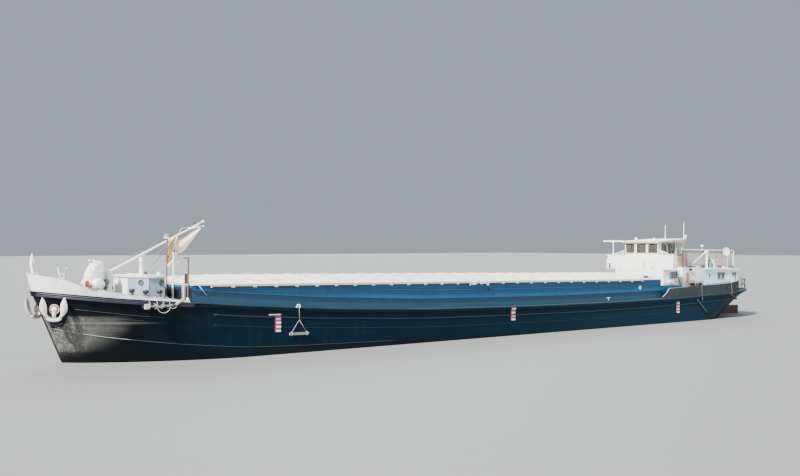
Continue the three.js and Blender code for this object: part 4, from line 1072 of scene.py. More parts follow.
class VESSEL_OT_anchors(bpy.types.Operator):
    """Stockless anchors with leaf-shaped flukes, hung crown down at the hawse pipes"""

    bl_idname = "vessel.anchors"
    bl_label = "Anchors"

    # A fluke from its foot up: height, distance from the middle, half width, half thickness
    LEAF = ((0.0, 0.2, 0.07, 0.07), (0.1, 0.3, 0.075, 0.07), (0.22, 0.385, 0.1, 0.065),
            (0.36, 0.425, 0.145, 0.06), (0.5, 0.44, 0.165, 0.055), (0.64, 0.445, 0.15, 0.045),
            (0.78, 0.45, 0.11, 0.035), (0.9, 0.46, 0.06, 0.025), (1.0, 0.475, 0.012, 0.012))

    def execute(self, context):
        for port, side in ((1, "port"), (-1, "starboard")):
            low, high = corners("anchor_" + side)
            middle = (low + high) / 2
            outward = Vector((0.53, port * 0.848, 0)).normalized()
            across = Vector(UP).cross(outward)
            foot = Vector((middle.x, middle.y, low.z + 0.12)) + outward * 0.02
            span = high.z - foot.z

            def spot(aside, out, up):
                return foot + across * aside + outward * out + Vector((0, 0, up))

            anchor = Builder()
            for way in (-1, 1):
                rows = []
                for rise, away, half, thick in self.LEAF:
                    centre = spot(way * away, 0.05 * math.sin(rise * 3) + 0.16 * rise, rise * span)
                    rows.append([centre + across * half * math.cos(a) + outward * thick * math.sin(a)
                                 for a in turn(14, closed=True)])
                anchor.grid(rows, "anchor")
                anchor.tube([row[3] + outward * 0.01 for row in rows[1:-1]], 0.02, "anchor", 6, taper=0.4)
                anchor.turned([(0.02, -0.07), (0.065, -0.05), (0.075, 0), (0.065, 0.05), (0.02, 0.07)],
                              spot(way * 0.2, 0, 0), "anchor", 14, across)
            anchor.bend([spot(y, 0, z) for y, z in ((-0.3, 0.05), (-0.18, -0.03), (0, -0.05), (0.18, -0.03),
                                                    (0.3, 0.05))], 3, 0.075, "anchor", 12)
            anchor.tube([foot, spot(0, -0.02, 0.25), spot(0, -0.1, 0.46)], 0.085, "anchor", 12, taper=0.8)
            anchor.turned([(0.05, -0.05), (0.12, -0.03), (0.14, 0.0), (0.12, 0.04), (0.04, 0.07)],
                          spot(0, 0, 0.42), "anchor", 18, outward)
            anchor.ring(spot(0, -0.03, 0.42), 0.2, 0.032, outward, "hawse_pink")
            anchor.make("anchor_shape_" + side, slot="anchor_paint", stands_for="anchor_" + side)
        return {"FINISHED"}


class VESSEL_OT_bow_gear(bpy.types.Operator):
    """Windlass gear, anchor chains, chain pipes and the horned frame on the fore deck"""

    bl_idname = "vessel.bow_gear"
    bl_label = "Bow gear"

    HORNS_X = 25.93
    DRUM_Z = 3.9

    def windlass(self):
        low, high = corners("windlass")
        x, hub = (low.x + high.x) / 2, self.DRUM_Z
        gear = Builder()
        for _ in gear.sides():
            gear.turned([(0.1, 0), (0.27, 0.0), (0.27, 0.05), (0.2, 0.07), (0.2, 0.2), (0.26, 0.22),
                         (0.26, 0.27),
                         (0.1, 0.27)], (x, 0.5, hub), "white", 24, (0, 1, 0))
            for a in turn(8):
                cog_x, cog_z = x + 0.24 * math.cos(a), hub + 0.24 * math.sin(a)
                gear.box((cog_x - 0.02, cog_x + 0.02), (0.5, 0.56), (cog_z - 0.02, cog_z + 0.02), "grey")
            gear.chain([(x + 0.2, 0.62, 3.84), (26.2, 0.62, deck_at(26.2) + 0.04),
                        (26.34, 0.75, deck_at(26.3) - 0.02)], 0.06, 0.016)
            gear.turned([(0.12, 0), (0.15, 0.03), (0.14, 0.08), (0.08, 0.09), (0.07, 0.02)],
                        (26.2, 0.66, deck_at(26.2) - 0.01), "black", 18)
        gear.tube([(x + 0.2, 0.3, 4.35), (x + 0.32, 0.4, 4.95)], 0.022)
        gear.turned([(0.03, 0), (0.055, 0.03), (0.055, 0.07), (0.02, 0.1)], (x + 0.32, 0.4, 4.93), "white",
                    12,
                    (0.2, 0, 1))
        gear.tube([(low.x + 0.2, -0.3, high.z - 0.03), (low.x + 0.2, -0.3, high.z + 0.12)], 0.05, sides=10)
        gear.box((low.x + 0.1, low.x + 0.35), (0.1, 0.36), (high.z - 0.04, high.z + 0.06), "white", 0.02)
        gear.box((low.x + 0.08, high.x - 0.16), (0.452, 0.47), (4.15, 4.5), "white", 0.01)
        gear.box((high.x + 0.02, high.x + 0.2), (0.3, 0.52), (3.4, 4.06), "red", 0.02)
        rear = high.x + 0.3
        for y in (0.36, 0.62):
            gear.tube([(rear, y, 3.36), (rear, y, 4.02)], 0.03)
        gear.tube([(rear, 0.2, 4.0), (rear, 0.8, 4.0)], 0.02)
        for k in range(9):
            gear.turned([(0.015, 0), (0.015, 0.015), (0.004, 0.02)],
                        (low.x + 0.14 + (k % 3) * 0.1, 0.47, 4.2 + (k // 3) * 0.12), "grey", 8, (0, 1, 0))
        gear.make("windlass_gear", slot="steel")

    def execute(self, context):
        self.windlass()
        horns = Builder()
        x, deck = self.HORNS_X, deck_at(self.HORNS_X)
        horns.block((x, 0), (0.12, 0.43), (deck - 0.02, deck + 0.05), "grey", 0.015)
        for way in (-1, 1):
            post = [(x, way * y, z) for y,
                    z in ((0.31, deck), (0.29, 3.9), (0.27, 4.15), (0.36, 4.36), (0.47, 4.5),
                                                 (0.53, 4.6))]
            horns.bend(post, 3, 0.034, "horn_pale", 10)
            horns.turned([(0.01, -0.05), (0.045, -0.03), (0.05, 0.0), (0.045, 0.03), (0.01, 0.05)], post[-1],
                         "horn_pale", 12, (0, way * 0.5, 1))
        for z, half in ((3.92, 0.29), (4.17, 0.3), (4.36, 0.37)):
            horns.tube([(x, -half, z), (x, half, z)], 0.026, "horn_pale")
        horns.make("horn_frame_bars", stands_for="horn_frame")
        return {"FINISHED"}


class VESSEL_OT_deck_heads(bpy.types.Operator):
    """Bodies and caps of the bollards and vents"""

    bl_idname = "vessel.deck_heads"
    bl_label = "Bollards and vents"

    def execute(self, context):
        for name in HEADS:
            low, high = corners(name)
            middle = (low + high) / 2
            head = Builder()
            spread = 0.0 if name.startswith("vent") else 0.34
            foot = high.z - 0.44
            for x in sorted({middle.x - spread, middle.x + spread}):
                head.turned([(0.11, 0.0), (0.115, 0.04), (0.095, 0.07), (0.092, 0.3), (0.1, 0.33)],
                            (x, middle.y, foot), "slate")
                head.turned([(0.122, 0.3), (0.136, 0.32), (0.136, 0.42), (0.12, 0.438), (0.03, 0.444)],
                            (x, middle.y, foot), "black")
            head.block(middle, (spread + 0.15, 0.14), (low.z, foot + 0.045), "slate", 0.015)
            head.make(name + "_shape", slot="steel", stands_for=name)
        return {"FINISHED"}


class VESSEL_OT_fore_house(bpy.types.Operator):
    """Portholes, roof edge, door fittings and small things of the fore house"""

    bl_idname = "vessel.fore_house"
    bl_label = "Fore house"

    def house(self):
        house = Builder()
        for _ in house.sides():
            for centre, outward in (((22.73, 1.32, 3.98), (0.82, 0.63, 0)), ((21.85, 1.6, 3.98), (0, 1, 0))):
                rim = Vector(centre) + Vector(outward).normalized() * 0.012
                house.ring(rim, 0.125, 0.018, outward, "steel")
                house.turned([(0.12, -0.03), (0.12, -0.018)], rim, "glass", 24, outward)
            house.tube([(21.75, 1.63, 4.19), (22.5, 1.63, 4.19), (23.17, 0.82, 4.19)], 0.012)
            house.tube([(22.51, 1.604, 3.2), (22.51, 1.604, 4.22)], 0.012, sides=6)
        outline = [(21.63, -1.65), (22.53, -1.65), (23.2, -0.8), (23.2, 0.8), (22.53, 1.65), (21.63, 1.65)]
        for z in (4.285, 4.235):
            house.tube([(x, y, z) for x, y in outline], 0.018, closed=True)
        house.turned([(0.11, 0), (0.11, 0.03), (0.095, 0.04), (0.095, 0.64), (0.11, 0.66), (0.11, 0.71),
                      (0.05, 0.72)], (22.58, 1.0, 4.3))
        house.box((22.1, 22.5), (-0.75, -0.25), (4.3, 4.36), "white", 0.015)
        house.turned([(0.06, 0), (0.09, 0.05), (0.1, 0.12), (0.05, 0.16)], (21.85, 1.3, 4.3), sides=14)
        house.box((21.95, 22.25), (1.0, 1.3), (4.3, 4.37), "pale_blue", 0.02)
        house.make("fore_house_fittings")

    def execute(self, context):
        self.house()
        door = Builder()
        door.tube([(x, -0.5, z) for x, z in ((21.66, 3.62), (21.6, 3.62), (21.6, 3.8), (21.66, 3.8))], 0.012,
                  "bronze")
        door.box((21.655, 21.672), (-1.02, -0.48), (3.38, 4.06), "grey_white", 0.008)
        door.make("fore_door_fittings", "fore_door")

        hatch = Builder()
        for _ in hatch.sides():
            # Black plate at each fore corner of the hatch, standing for the dark gap there: painted shade
            hatch.box((20.86, 20.93), (2.08, 2.3), (3.93, 4.42), "black", 0.015)
            hatch.tube([(20.9, 0.05, 3.99), (20.9, 1.4, 3.96), (20.88, 2.72, 3.9), (20.0, 2.8, 3.92)], 0.022)
            hatch.tube([(20.6, 2.86, 3.9), (20.15, 2.83, 3.4)], 0.016, "pale_blue_white", 6)
            for y in (0.3, 1.0, 2.05):
                hatch.tube([(POSTS_X, y, deck_at(POSTS_X)), (POSTS_X, y, 3.88)], 0.05, "grey", 10)
            hatch.box((20.93, 21.03), (2.15, 2.25), (3.15, 3.85), "grey_white", 0.01)
        hatch.make("fore_hatch_fittings", slot="cover_paint")
        return {"FINISHED"}


class VESSEL_OT_rigging(bpy.types.Operator):
    """Boom fittings, short gaff, wire stays, wire winch and posts"""

    bl_idname = "vessel.rigging"
    bl_label = "Rigging"

    FOOT = Vector((23.77, 0, 4.43))
    TIP = Vector((18.83, 0, 6.98))
    # Stays from the boom down to the house roof: name, foot on the roof, share along the boom, sideways
    STAYS = (("boom_stay_port", (22.3, 0.62, 4.31), 0.72, 0.03),
             ("boom_stay_starboard", (22.3, -0.62, 4.31), 0.72, -0.03),
             ("boom_fall", (21.75, 0.1, 4.31), 0.985, 0.0))

    def on_boom(self, share, above=0.0):
        """A point at a share of the boom's length, above its line."""
        run = self.TIP - self.FOOT
        heading = run.normalized()
        return self.FOOT + run * share + Vector((heading.z, 0, -heading.x)) * above

    def boom(self):
        boom = Builder()
        for share, radius in ((0.03, 0.08), (0.35, 0.072), (0.84, 0.062), (0.93, 0.058), (0.985, 0.058)):
            boom.turned([(radius, -0.035), (radius + 0.012, -0.02), (radius + 0.012, 0.02), (radius, 0.035)],
                        self.on_boom(share), "white", 16, self.TIP - self.FOOT)
        for share in (0.8, 0.9):
            eye = self.on_boom(share, 0.09)
            boom.ring(eye, 0.045, 0.012, (0, 1, 0), "steel", 14, 6)
            boom.block(eye, (0.035, 0.03), (eye.z + 0.04, eye.z + 0.16), "steel", 0.012)
        boom.tube([self.on_boom(0.02, 0.16), self.on_boom(0.5, 0.14), self.on_boom(0.98, 0.08)],
                  sizes().stay, "wire", 6)
        boom.tube([(19.74, 0.05, 6.56), (19.4, 0.08, 6.62), (18.95, 0.1, 6.72)], 0.045, sides=10, taper=0.6)
        boom.tube([(20.24, 0.0, 6.29), (20.06, 0.03, 6.57), (19.71, 0.03, 6.62)], 0.012, sides=6)
        boom.turned([(0.02, 0), (0.045, 0.02), (0.045, 0.05), (0.02, 0.07)], (18.95, 0.1, 6.69), "white", 12,
                    (-0.9, 0, 0.3))
        boom.make("boom_fittings", "boom")

    def winch(self):
        winch = Builder()
        winch.turned([(0.02, -0.14), (0.15, -0.13), (0.15, -0.11), (0.085, -0.1), (0.1, -0.08), (0.1, 0.08),
                      (0.085, 0.1), (0.15, 0.11), (0.15, 0.13), (0.02, 0.14)], (23.98, 0.24, 4.0), "grey",
                     22,
                     (0, 1, 0))
        for k in range(9):
            winch.ring((23.98, 0.165 + 0.019 * k, 4.0), 0.105, 0.011, (0, 1, 0), "wire", 20, 6)
        for y in ((0.12, 0.15), (0.34, 0.37)):
            winch.box((23.93, 24.03), y, (3.78, 4.06), "grey", 0.01)
        winch.box((23.9, 24.06), (0.1, 0.38), (3.74, 3.79), "slate", 0.01)
        winch.tube([(23.98, 0.38, 4.0), (23.98, 0.44, 4.0), (24.12, 0.44, 4.1), (24.12, 0.5, 4.1)], 0.014,
                   "steel")
        winch.tube([(23.98, 0.24, 3.4), (23.98, 0.24, 3.76)], 0.05, "slate")
        winch.make("boom_winch", slot="steel")

    def posts(self):
        posts = Builder()
        x, foot = POSTS_X, deck_at(POSTS_X) + 0.06
        for name, width in (("lamp_pole", 0.05), ("signal_post", 0.055), ("corner_post", 0.055)):
            low, high = corners(name)
            y = (low.y + high.y) / 2
            posts.turned([(0.09, 0), (0.09, 0.02), (width + 0.01, 0.03), (width, 0.12), (0.04, 0.14)],
                         (x, y, foot),
                         sides=14)
            for a in turn(4):
                a += math.pi / 4
                posts.turned([(0.012, 0), (0.012, 0.02), (0.004, 0.024)],
                             (x + 0.049 * math.cos(a), y + 0.09 * math.sin(a), foot), "grey", 6)
        posts.turned([(0.034, 0), (0.034, 1.35)], (x, y, foot + 0.06), "post_red", 12)
        posts.turned([(0.05, 0), (0.05, 0.03), (0.03, 0.05)], (x, 1.05, 5.36), sides=12)
        posts.make("post_fittings")

        lamp = Builder()
        centre = (x, 0.35, 6.05)
        lamp.turned([(0.06, 0), (0.178, 0.01), (0.178, 0.05), (0.15, 0.07)], centre)
        lamp.turned([(0.152, 0.06), (0.148, 0.16)], centre, "lamp")
        lamp.turned([(0.155, 0.155), (0.17, 0.17), (0.13, 0.235), (0.03, 0.25)], centre, "grey")
        for a in turn(6):
            bar = (x + 0.165 * math.cos(a), 0.35 + 0.165 * math.sin(a))
            lamp.tube([(*bar, 6.08), (*bar, 6.24)], 0.006, "grey", 5)
        lamp.make("lamp_head")

    def execute(self, context):
        self.boom()
        self.winch()
        self.posts()
        for name, start, share, side in self.STAYS:
            line = Builder()
            start = Vector(start)
            end = self.on_boom(share, -0.06) + Vector((0, side, 0))
            line.tube([start, start.lerp(end, 0.33), start.lerp(end, 0.66), end], sizes().stay, "wire", 6)
            piece = line.make(name, None, "steel")
            tuple(at(*start))
            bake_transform(piece)
        return {"FINISHED"}


class VESSEL_OT_flags(bpy.types.Operator):
    """Bunting that hangs in folds from the boom, and the flag furled round the jackstaff"""

    bl_idname = "vessel.flags"
    bl_label = "Flags"

    # Name, finish, centre line from the top, half widths along it, folds
    BUNTING = (
        ("orange_bunting", "orange_flag",
         ((20.26, 0.02, 6.27), (20.45, 0.05, 5.95), (20.6, 0.08, 5.6), (20.66, 0.07, 5.3),
          (20.72, 0.05, 5.0),
          (20.8, 0.04, 4.7)), (0.05, 0.2, 0.34, 0.24, 0.14, 0.03), 2),
        ("white_bunting", "white_flag",
         ((19.1, 0.1, 6.62), (19.45, 0.1, 6.3), (19.75, 0.1, 6.02), (20.05, 0.12, 5.76), (20.26, 0.13, 5.55),
          (20.36, 0.13, 5.42)), (0.05, 0.13, 0.21, 0.28, 0.26, 0.1), 1),
        ("pale_bunting", "white_flag",
         ((20.33, 0.1, 5.6), (20.36, 0.12, 5.35), (20.35, 0.12, 5.1), (20.33, 0.1, 4.9)),
         (0.07, 0.09, 0.07, 0.04), 2),
    )
    ACROSS = 24                      # steps across a piece of bunting
    FURLED = 0.82                    # height of the furled flag

    def rows(self, line, halves, folds):
        for i, point in enumerate(line):
            share = i / (len(line) - 1)
            spot = share * (len(halves) - 1)
            k = min(int(spot), len(halves) - 2)
            half = halves[k] + (halves[k + 1] - halves[k]) * (spot - k)
            down = (line[min(i + 1, len(line) - 1)] - line[max(i - 1, 0)]).normalized()
            wide = Vector((down.z, 0, -down.x))
            row = []
            for j in range(self.ACROSS + 1):
                t = 2 * j / self.ACROSS - 1
                wave = math.sin(t * math.pi * folds + share * 2.2) * half * 0.3
                curl = 0.05 * math.sin(share * 7 + t * 2) * (0.3 + share)
                row.append(point + wide * (t * half) + Vector((0, wave + curl, 0)))
            yield row

    def execute(self, context):
        for name, finish, centre, halves, folds in self.BUNTING:
            line = smooth_line(centre, 6)
            bunting = Builder()
            area = bunting.grid(self.rows(line, halves, folds), finish)
            run = run_length(line)
            piece = bunting.make(name, "boom")

        furled = Builder()
        rows = []
        for i in range(13):
            z = 4.42 + i * 0.068
            size = 0.055 + 0.035 * math.sin(math.pi * min(1, i / 11)) - 0.03 * (i > 11)
            rows.append(flute((27.25 + (z - 4.4) / 0.9 * 0.05, 0), size, 5, 0.28, i * 0.5, z, 30))
        area = furled.grid(rows, "white_flag")
        piece = furled.make("furled_flag")
        return {"FINISHED"}


class VESSEL_OT_bow_fenders(bpy.types.Operator):
    """Spar, lashings, rope swag and rolled mat that hang over the port bow"""

    bl_idname = "vessel.bow_fenders"
    bl_label = "Bow fenders"

    # Loops of rope between the lashings: where each starts and ends, as (x, z)
    LOOPS = (((23.0, 3.1), (22.5, 3.0)), ((22.6, 3.08), (22.1, 3.06)), ((22.3, 3.02), (21.9, 2.94)))
    # The swag: x, distance out from the fender, z
    SWAG = ((22.86, 0.02, 2.93), (22.8, 0.03, 2.84), (22.7, 0.03, 2.73), (22.55, 0.03, 2.68),
            (22.4, 0.03, 2.7),
            (22.26, 0.03, 2.8), (22.2, 0.02, 2.93))
    SWAG_RADIUS = 0.015

    def lashings(self, low, high, rope):
        lashing = Builder()
        out, spar_z = high.y, (low.z + high.z) / 2
        for x in (23.2, 22.85, 22.55, 22.25):
            inner = side_point(x, deck_at(x) - 0.1).y
            top = along(BOW_TOP, x)
            lashing.bend([(x + 0.1, inner - 0.3, top - 0.2), (x + 0.05, inner - 0.12, top + 0.03),
                          (x, inner + 0.03, top + 0.02), (x - 0.03, out + 0.01, spar_z + 0.12),
                          (x - 0.04, out + 0.02, spar_z - 0.05)], 4, rope, "rope")
            for k in range(3):
                lashing.ring((x - 0.04 + 0.025 * k, (low.y + high.y) / 2 + 0.01, spar_z), 0.115, rope * 0.8,
                             (1, 0, 0),
                             "rope", 16, 6)
        for (x, z), (x2, z2) in self.LOOPS:
            lashing.bend([(x, out + 0.02, z), ((x + x2) / 2, out + 0.03, min(z, z2) - 0.08),
                          (x2, out + 0.02, z2)], 5,
                         rope, "rope")
        lashing.box((low.x + 0.02, high.x - 0.2), (out - 0.05, out + 0.01), (spar_z - 0.02, spar_z + 0.06),
                    "grey", 0.01)
        lashing.box((high.x - 0.22, high.x), (out - 0.12, out + 0.03), (spar_z - 0.11, spar_z + 0.1),
                    "grey_white", 0.02)
        lashing.make("fender_lashings", slot="fender")

    def execute(self, context):
        low, high = corners("fender_fore")
        out, rope = high.y, sizes().rope
        self.lashings(low, high, rope)
        points = smooth_line([(x, out + away, z) for x, away, z in self.SWAG], 6)
        swag = Builder()
        swag.tube(points, self.SWAG_RADIUS, "rope", 10)
        piece = swag.make("fender_swag", slot="fender")
        tuple(at(*points[0]))
        run_length(points)
        [tuple(at(*p)) for p in points]

        mat = Builder()
        start, end = Vector((21.93, out - 0.02, 3.03)), Vector((21.5, out + 0.03, 3.3))
        axis, size = end - start, (end - start).length
        mat.turned([(0.03, 0), (0.062, 0.01), (0.07, size * 0.3), (0.062, size * 0.5), (0.072, size * 0.7),
                    (0.066, size - 0.01), (0.03, size)], start, "mat", 18, axis)
        for share in (0.2, 0.5, 0.8):
            mat.ring(start.lerp(end, share), 0.072, 0.01, axis, "rope", 18, 6)
        mat.tube([start, start + Vector((0.12, 0, -0.02)), (22.15, out + 0.01, 2.99)], rope, "rope")
        mat.make("rolled_mat", slot="fender")
        return {"FINISHED"}


class VESSEL_OT_hung_fenders(bpy.types.Operator):
    """Ropes and hooks of the other fenders"""

    bl_idname = "vessel.hung_fenders"
    bl_label = "Hung fenders"

    def execute(self, context):
        rope = sizes().rope
        low, high = corners("fender_mid")
        x, out = (low.x + high.x) / 2, high.y - 0.06
        hung = Builder()
        edge, deck = side_point(x, deck_at(x) - 0.1).y, deck_at(x)
        fork = (x, out, high.z + 0.62)
        hung.tube([(x + 0.06, edge + 0.05, deck + 0.08), (x, out, deck - 0.3), fork], rope * 0.75, "rope")
        for way in (-1, 1):
            end = (x + way * (high.x - low.x) * 0.4, out, high.z)
            hung.tube([fork, end], rope * 0.75, "rope")
            hung.ring((end[0], out - 0.02, (low.z + high.z) / 2), 0.1, rope, (1, 0, 0), "rope", 16, 6)
        hung.bend([(x + 0.1, edge - 0.08, deck + 0.02), (x + 0.1, edge - 0.05, deck + 0.14),
                   (x + 0.04, edge + 0.05, deck + 0.14), (x, edge + 0.07, deck + 0.02)], 4, 0.022)
        hung.box((x - 0.1, x + 0.16), (edge - 0.12, edge - 0.04), (deck - 0.01, deck + 0.05), "white", 0.01)

        for name, x in (("fender_aft", -18.48), ("fender_quarter", -22.2)):
            low, high = corners(name)
            top = along(STERN_TOP, x)
            edge = side_point(x, top - 0.05, node="stern_bulwark_port").y
            end = Vector((x, high.y - 0.02, high.z - 0.1))
            hung.bend([(x + 0.06, edge - 0.16, top - 0.1), (x, edge - 0.03, top + 0.03),
                       (x, edge + 0.03, top - 0.04),
                       end.lerp(Vector((x, edge + 0.03, top)), 0.4), end], 4, rope * 0.7, "grey")
        hung.make("fender_ropes", slot="fender")
        return {"FINISHED"}


class VESSEL_OT_covers(bpy.types.Operator):
    """Board joints, feet, painted shadow under the lips, ridge plates and lifting lugs of the hatch covers
    """

    bl_idname = "vessel.covers"
    bl_label = "Hatch cover details"

    PITCH = 1.2                      # length of one board
    FORE = 19.96                     # fore edge of the foremost board
    BOARDS = (4, 4, 4, 4, 4, 4, 3)
    TARPAULIN = 1.52                 # length of the tarpaulin
    JOIN_Y = (-2.8, -1.9, -1.0, -0.3, 0.0, 0.3, 1.0, 1.9, 2.8)

    def height(self, number, x, y, missing=None):
        place = meet(f"hatch_cover_{number}", (x, y, 9), (0, 0, -1))
        return place.z if place else missing

    def board(self, detail, number, x0, low, face, lugs):
        """Painted shadow under the lip, clips and, on every second board, lifting lugs of one board whose
        aft end is at x0.
        """
        x1 = x0 + self.PITCH
        for _ in detail.sides():
            # Near-black strip under the cover's lip between the clips: painted shadow
            detail.box((x0 + 0.1, x1 - 0.1), (face - 0.01, face + 0.004), (low - 0.012, low + 0.055),
                       "inside")
            detail.box((x0 + 0.02, x1 - 0.02), (face - 0.01, face + 0.008), (low + 0.12, low + 0.15),
                       "cover", 0.004)
            for x in (x0 + 0.06, x1 - 0.06):
                detail.prism([(x + a, face - 0.005, low + b) for a, b in
                              ((-0.035, 0.06), (0.035, 0.06), (0.015, -0.02), (-0.015, -0.02))],
                             (0, 0.012, 0), "cover")
            if lugs:
                x, z = x0 + 0.6, self.height(number, x0 + 0.6, 2.2, 4.0)
                detail.bend([(x + a, 2.2, z + b) for a,
                             b in ((-0.12, -0.01), (-0.1, 0.045), (0.1, 0.045), (0.12, -0.01))],
                            3, 0.011, "grey", 6)

    def tarpaulin(self):
        """A sheet laid over the edge of one cover."""
        edge = corners("hatch_cover_4")[1].y + 0.025
        rows = []
        for i in range(41):
            x = 1.95 + i * 0.038
            row = [(x, y, self.height(4, x, y) + 0.02 + 0.01 * math.sin(x * 11 + y * 5)) for y in (2.25, 2.4,
                                                                                                   2.55, 2.7,
                                                                                                   2.8)]
            bulge = 0.02 * math.sin(x * 9) + 0.012 * math.sin(x * 23)
            drop = 0.19 + 0.05 * math.sin(x * 4.1) + 0.03 * math.sin(x * 13)
            z = row[-1][2] - 0.03
            row.append((x, edge + bulge * 0.4, z))
            row += [(x, edge + 0.01 + bulge * (0.5 + 0.5 * k), z - drop * k) for k in (0.35, 0.7, 1.0)]
            rows.append(row)
        sheet = Builder()
        area = sheet.grid(rows, "tarpaulin")
        piece = sheet.make("edge_tarpaulin", "cover_4", "cover_paint")

    def execute(self, context):
        fore = self.FORE
        scatter = random.Random(7)
        for number, boards in enumerate(self.BOARDS, 1):
            low, high = corners(f"hatch_cover_{number}")
            detail = Builder()
            aft = fore - boards * self.PITCH
            for i in range(boards + 1):
                x = min(max(fore - i * self.PITCH, aft + 0.03), fore - 0.03)
                ridge = [(x, y, self.height(number, x, y)) for y in self.JOIN_Y]
                ridge = [(a, b, c + 0.004) for a, b, c in ridge if c is not None]
                if len(ridge) > 2:
                    detail.tube(ridge, 0.009, "cover", 6)
            if number == len(self.BOARDS):
                # Gable that closes the aft end
                x = aft + 0.03
                gable = [(x, y, self.height(number, x, y) - 0.015) for y in (-2.8, -1.9, -1.0, 0.0, 1.0, 1.9,
                                                                             2.8)]
                detail.prism([*gable, (x, 2.8, 3.88), (x, -2.8, 3.88)], (0.035, 0, 0), "cover")
            for i in range(boards):
                x0 = fore - (i + 1) * self.PITCH
                self.board(detail, number, x0, low.z, high.y, i % 2 == 0)
                for y in (-0.9, 0.9):
                    x = x0 + 0.6 + scatter.uniform(-0.03, 0.03)
                    detail.turned([(0.03, -0.01), (0.03, 0.012), (0.01, 0.016)],
                                  (x, y, self.height(number, x, y, 4.1)),
                                  "grey", 8)
            detail.make(f"cover_{number}_details", f"cover_{number}", "cover_paint")
            fore = aft
        self.tarpaulin()
        return {"FINISHED"}


class VESSEL_OT_coaming(bpy.types.Operator):
    """Small plates, marks and fittings along the coaming and side decks"""

    bl_idname = "vessel.coaming"
    bl_label = "Coaming details"

    def execute(self, context):
        side = Builder()
        for _ in side.sides():
            side.bend([(x, 3.33, deck_at(x) - 0.01) for x in range(-13, 22, 2)], 3, 0.02, "hull_trim", 6)
            side.prism([(-12.2 + a, 2.775, 3.36 + b) for a,
                        b in ((0.17, 0), (0, 0.17), (-0.17, 0), (0, -0.17))],
                       (0, 0.006, 0), "mark_white")
            side.box((16.44, 16.64), (3.2, 3.3), (deck_at(16.5), deck_at(16.5) + 0.015), "mark_white")
            side.box((-9.12, -8.76), (2.765, 2.78), (2.72, 2.76), "mark_white")
            side.box((-8.96, -8.92), (2.765, 2.78), (2.56, 2.72), "mark_white")
            side.tube([(1.86, 2.78, 3.52), (1.82, 2.81, 3.44), (1.87, 2.78, 3.36)], 0.022, "black")
            side.turned([(0.05, 0), (0.05, 0.012), (0.02, 0.02)], (1.88, 2.765, 3.44), "black", 12,
                        (0, 1, 0))
        side.make("coaming_details", slot="blue_paint")
        return {"FINISHED"}


class VESSEL_OT_front(bpy.types.Operator):
    """Door, slit window, step, rails and small fittings of the broad white front"""

    bl_idname = "vessel.front"
    bl_label = "Front"

    # Plates on the front: y from and to, z from and to, how far they stand out, finish, bevel
    PLATES = (
        (0.408, 0.432, 3.96, 5.05, 0.012, "grey_white", 0.004),
        (1.298, 1.322, 3.96, 5.05, 0.012, "grey_white", 0.004),
        (0.42, 1.31, 5.03, 5.055, 0.012, "grey_white", 0.004),
        (0.46, 1.27, 3.98, 5.02, 0.02, "white", 0.012),
        (0.42, 0.85, 4.06, 4.09, 0.16, "steel", 0.008), (-2.68, -2.54, 4.5, 4.94, 0.02, "inside", 0.0),
        (-2.72, -2.5, 4.47, 4.5, 0.03, "white", 0.006), (-2.72, -2.5, 4.94, 4.97, 0.03, "white", 0.006),
        (-2.72, -2.69, 4.47, 4.97, 0.03, "white", 0.006), (-2.53, -2.5, 4.47, 4.97, 0.03, "white", 0.006),
    )

    def execute(self, context):
        x = FRONT_X
        front = Builder()
        for y0, y1, z0, z1, out, finish, bevel in self.PLATES:
            front.box((x, x + out), (y0, y1), (z0, z1), finish, bevel)
        for z in (4.2, 4.85):
            front.tube([(x + 0.03, 0.45, z - 0.05), (x + 0.03, 0.45, z + 0.05)], 0.02)
        front.tube([(x + 0.02, 0.52, 4.78), (x + 0.07, 0.52, 4.78), (x + 0.07, 0.52, 4.98),
                    (x + 0.02, 0.52, 4.98)],
                   0.018, "steel")
        front.tube([(x + 0.02, 1.18, 4.55), (x + 0.06, 1.18, 4.55), (x + 0.06, 1.2, 4.75)], 0.014, "grey")
        front.tube([(x + 0.06, 0.28, 3.45), (x + 0.06, 0.28, 5.02)], 0.03, sides=10)
        for y, z in ((-1.45, 5.2), (-1.1, 4.62), (-0.75, 4.35), (-0.5, 4.35), (2.4, 5.1)):
            front.turned([(0.035, 0), (0.035, 0.02), (0.02, 0.03)], (x, y, z), "grey", 10, (1, 0, 0))
        front.tube([(x - 0.02, -2.62, 5.5), (x - 0.02, 2.9, 5.53)], 0.026)
        for _ in front.sides():
            rail = smooth_line([(-15.76, 2.84, 5.42), (-15.9, 2.3, 5.62), (-16.05, 1.8, 5.8),
                                (-16.08, 1.5, 5.82)], 4)
            front.tube(rail, 0.028)
            front.tube([(a, b, c - 0.14) for a, b, c in rail], 0.016)
            front.tube([(-16.0, 1.72, 5.5), (-16.04, 1.72, 5.8)], 0.04)
            front.box((-15.86, -15.68), (2.7, 2.88), (5.4, 5.56), "white", 0.02)
        front.bend([(-15.58, 0.9, 4.0), (-15.5, 1.05, 3.92), (-15.52, 1.25, 3.97), (-15.5, 1.32, 3.88)], 4,
                   0.03, "mat")
        front.make("front_fittings")
        return {"FINISHED"}


def pane(builder, u, z, plane, axis, finish="glass", bar=None, out=1, frame_finish="window_grey"):
    """A framed pane across u and z on the plane; axis 0 faces along x and 1 along y."""
    width = bar or sizes().frame
    inner, face = plane - out * 0.035, plane + out * 0.012

    def put(across, heights, near, far, paint, bevel=0.0):
        x, y = ((near, far), across) if axis == 0 else (across, (near, far))
        builder.box(x, y, heights, paint, bevel)

    put(u, z, inner - 0.006, inner + 0.006, finish)
    for across, heights in ((u, (z[0], z[0] + width)), (u, (z[1] - width, z[1])),
                            ((u[0], u[0] + width), z), ((u[1] - width, u[1]), z)):
        put(across, heights, *sorted((inner, face)), frame_finish, 0.008)


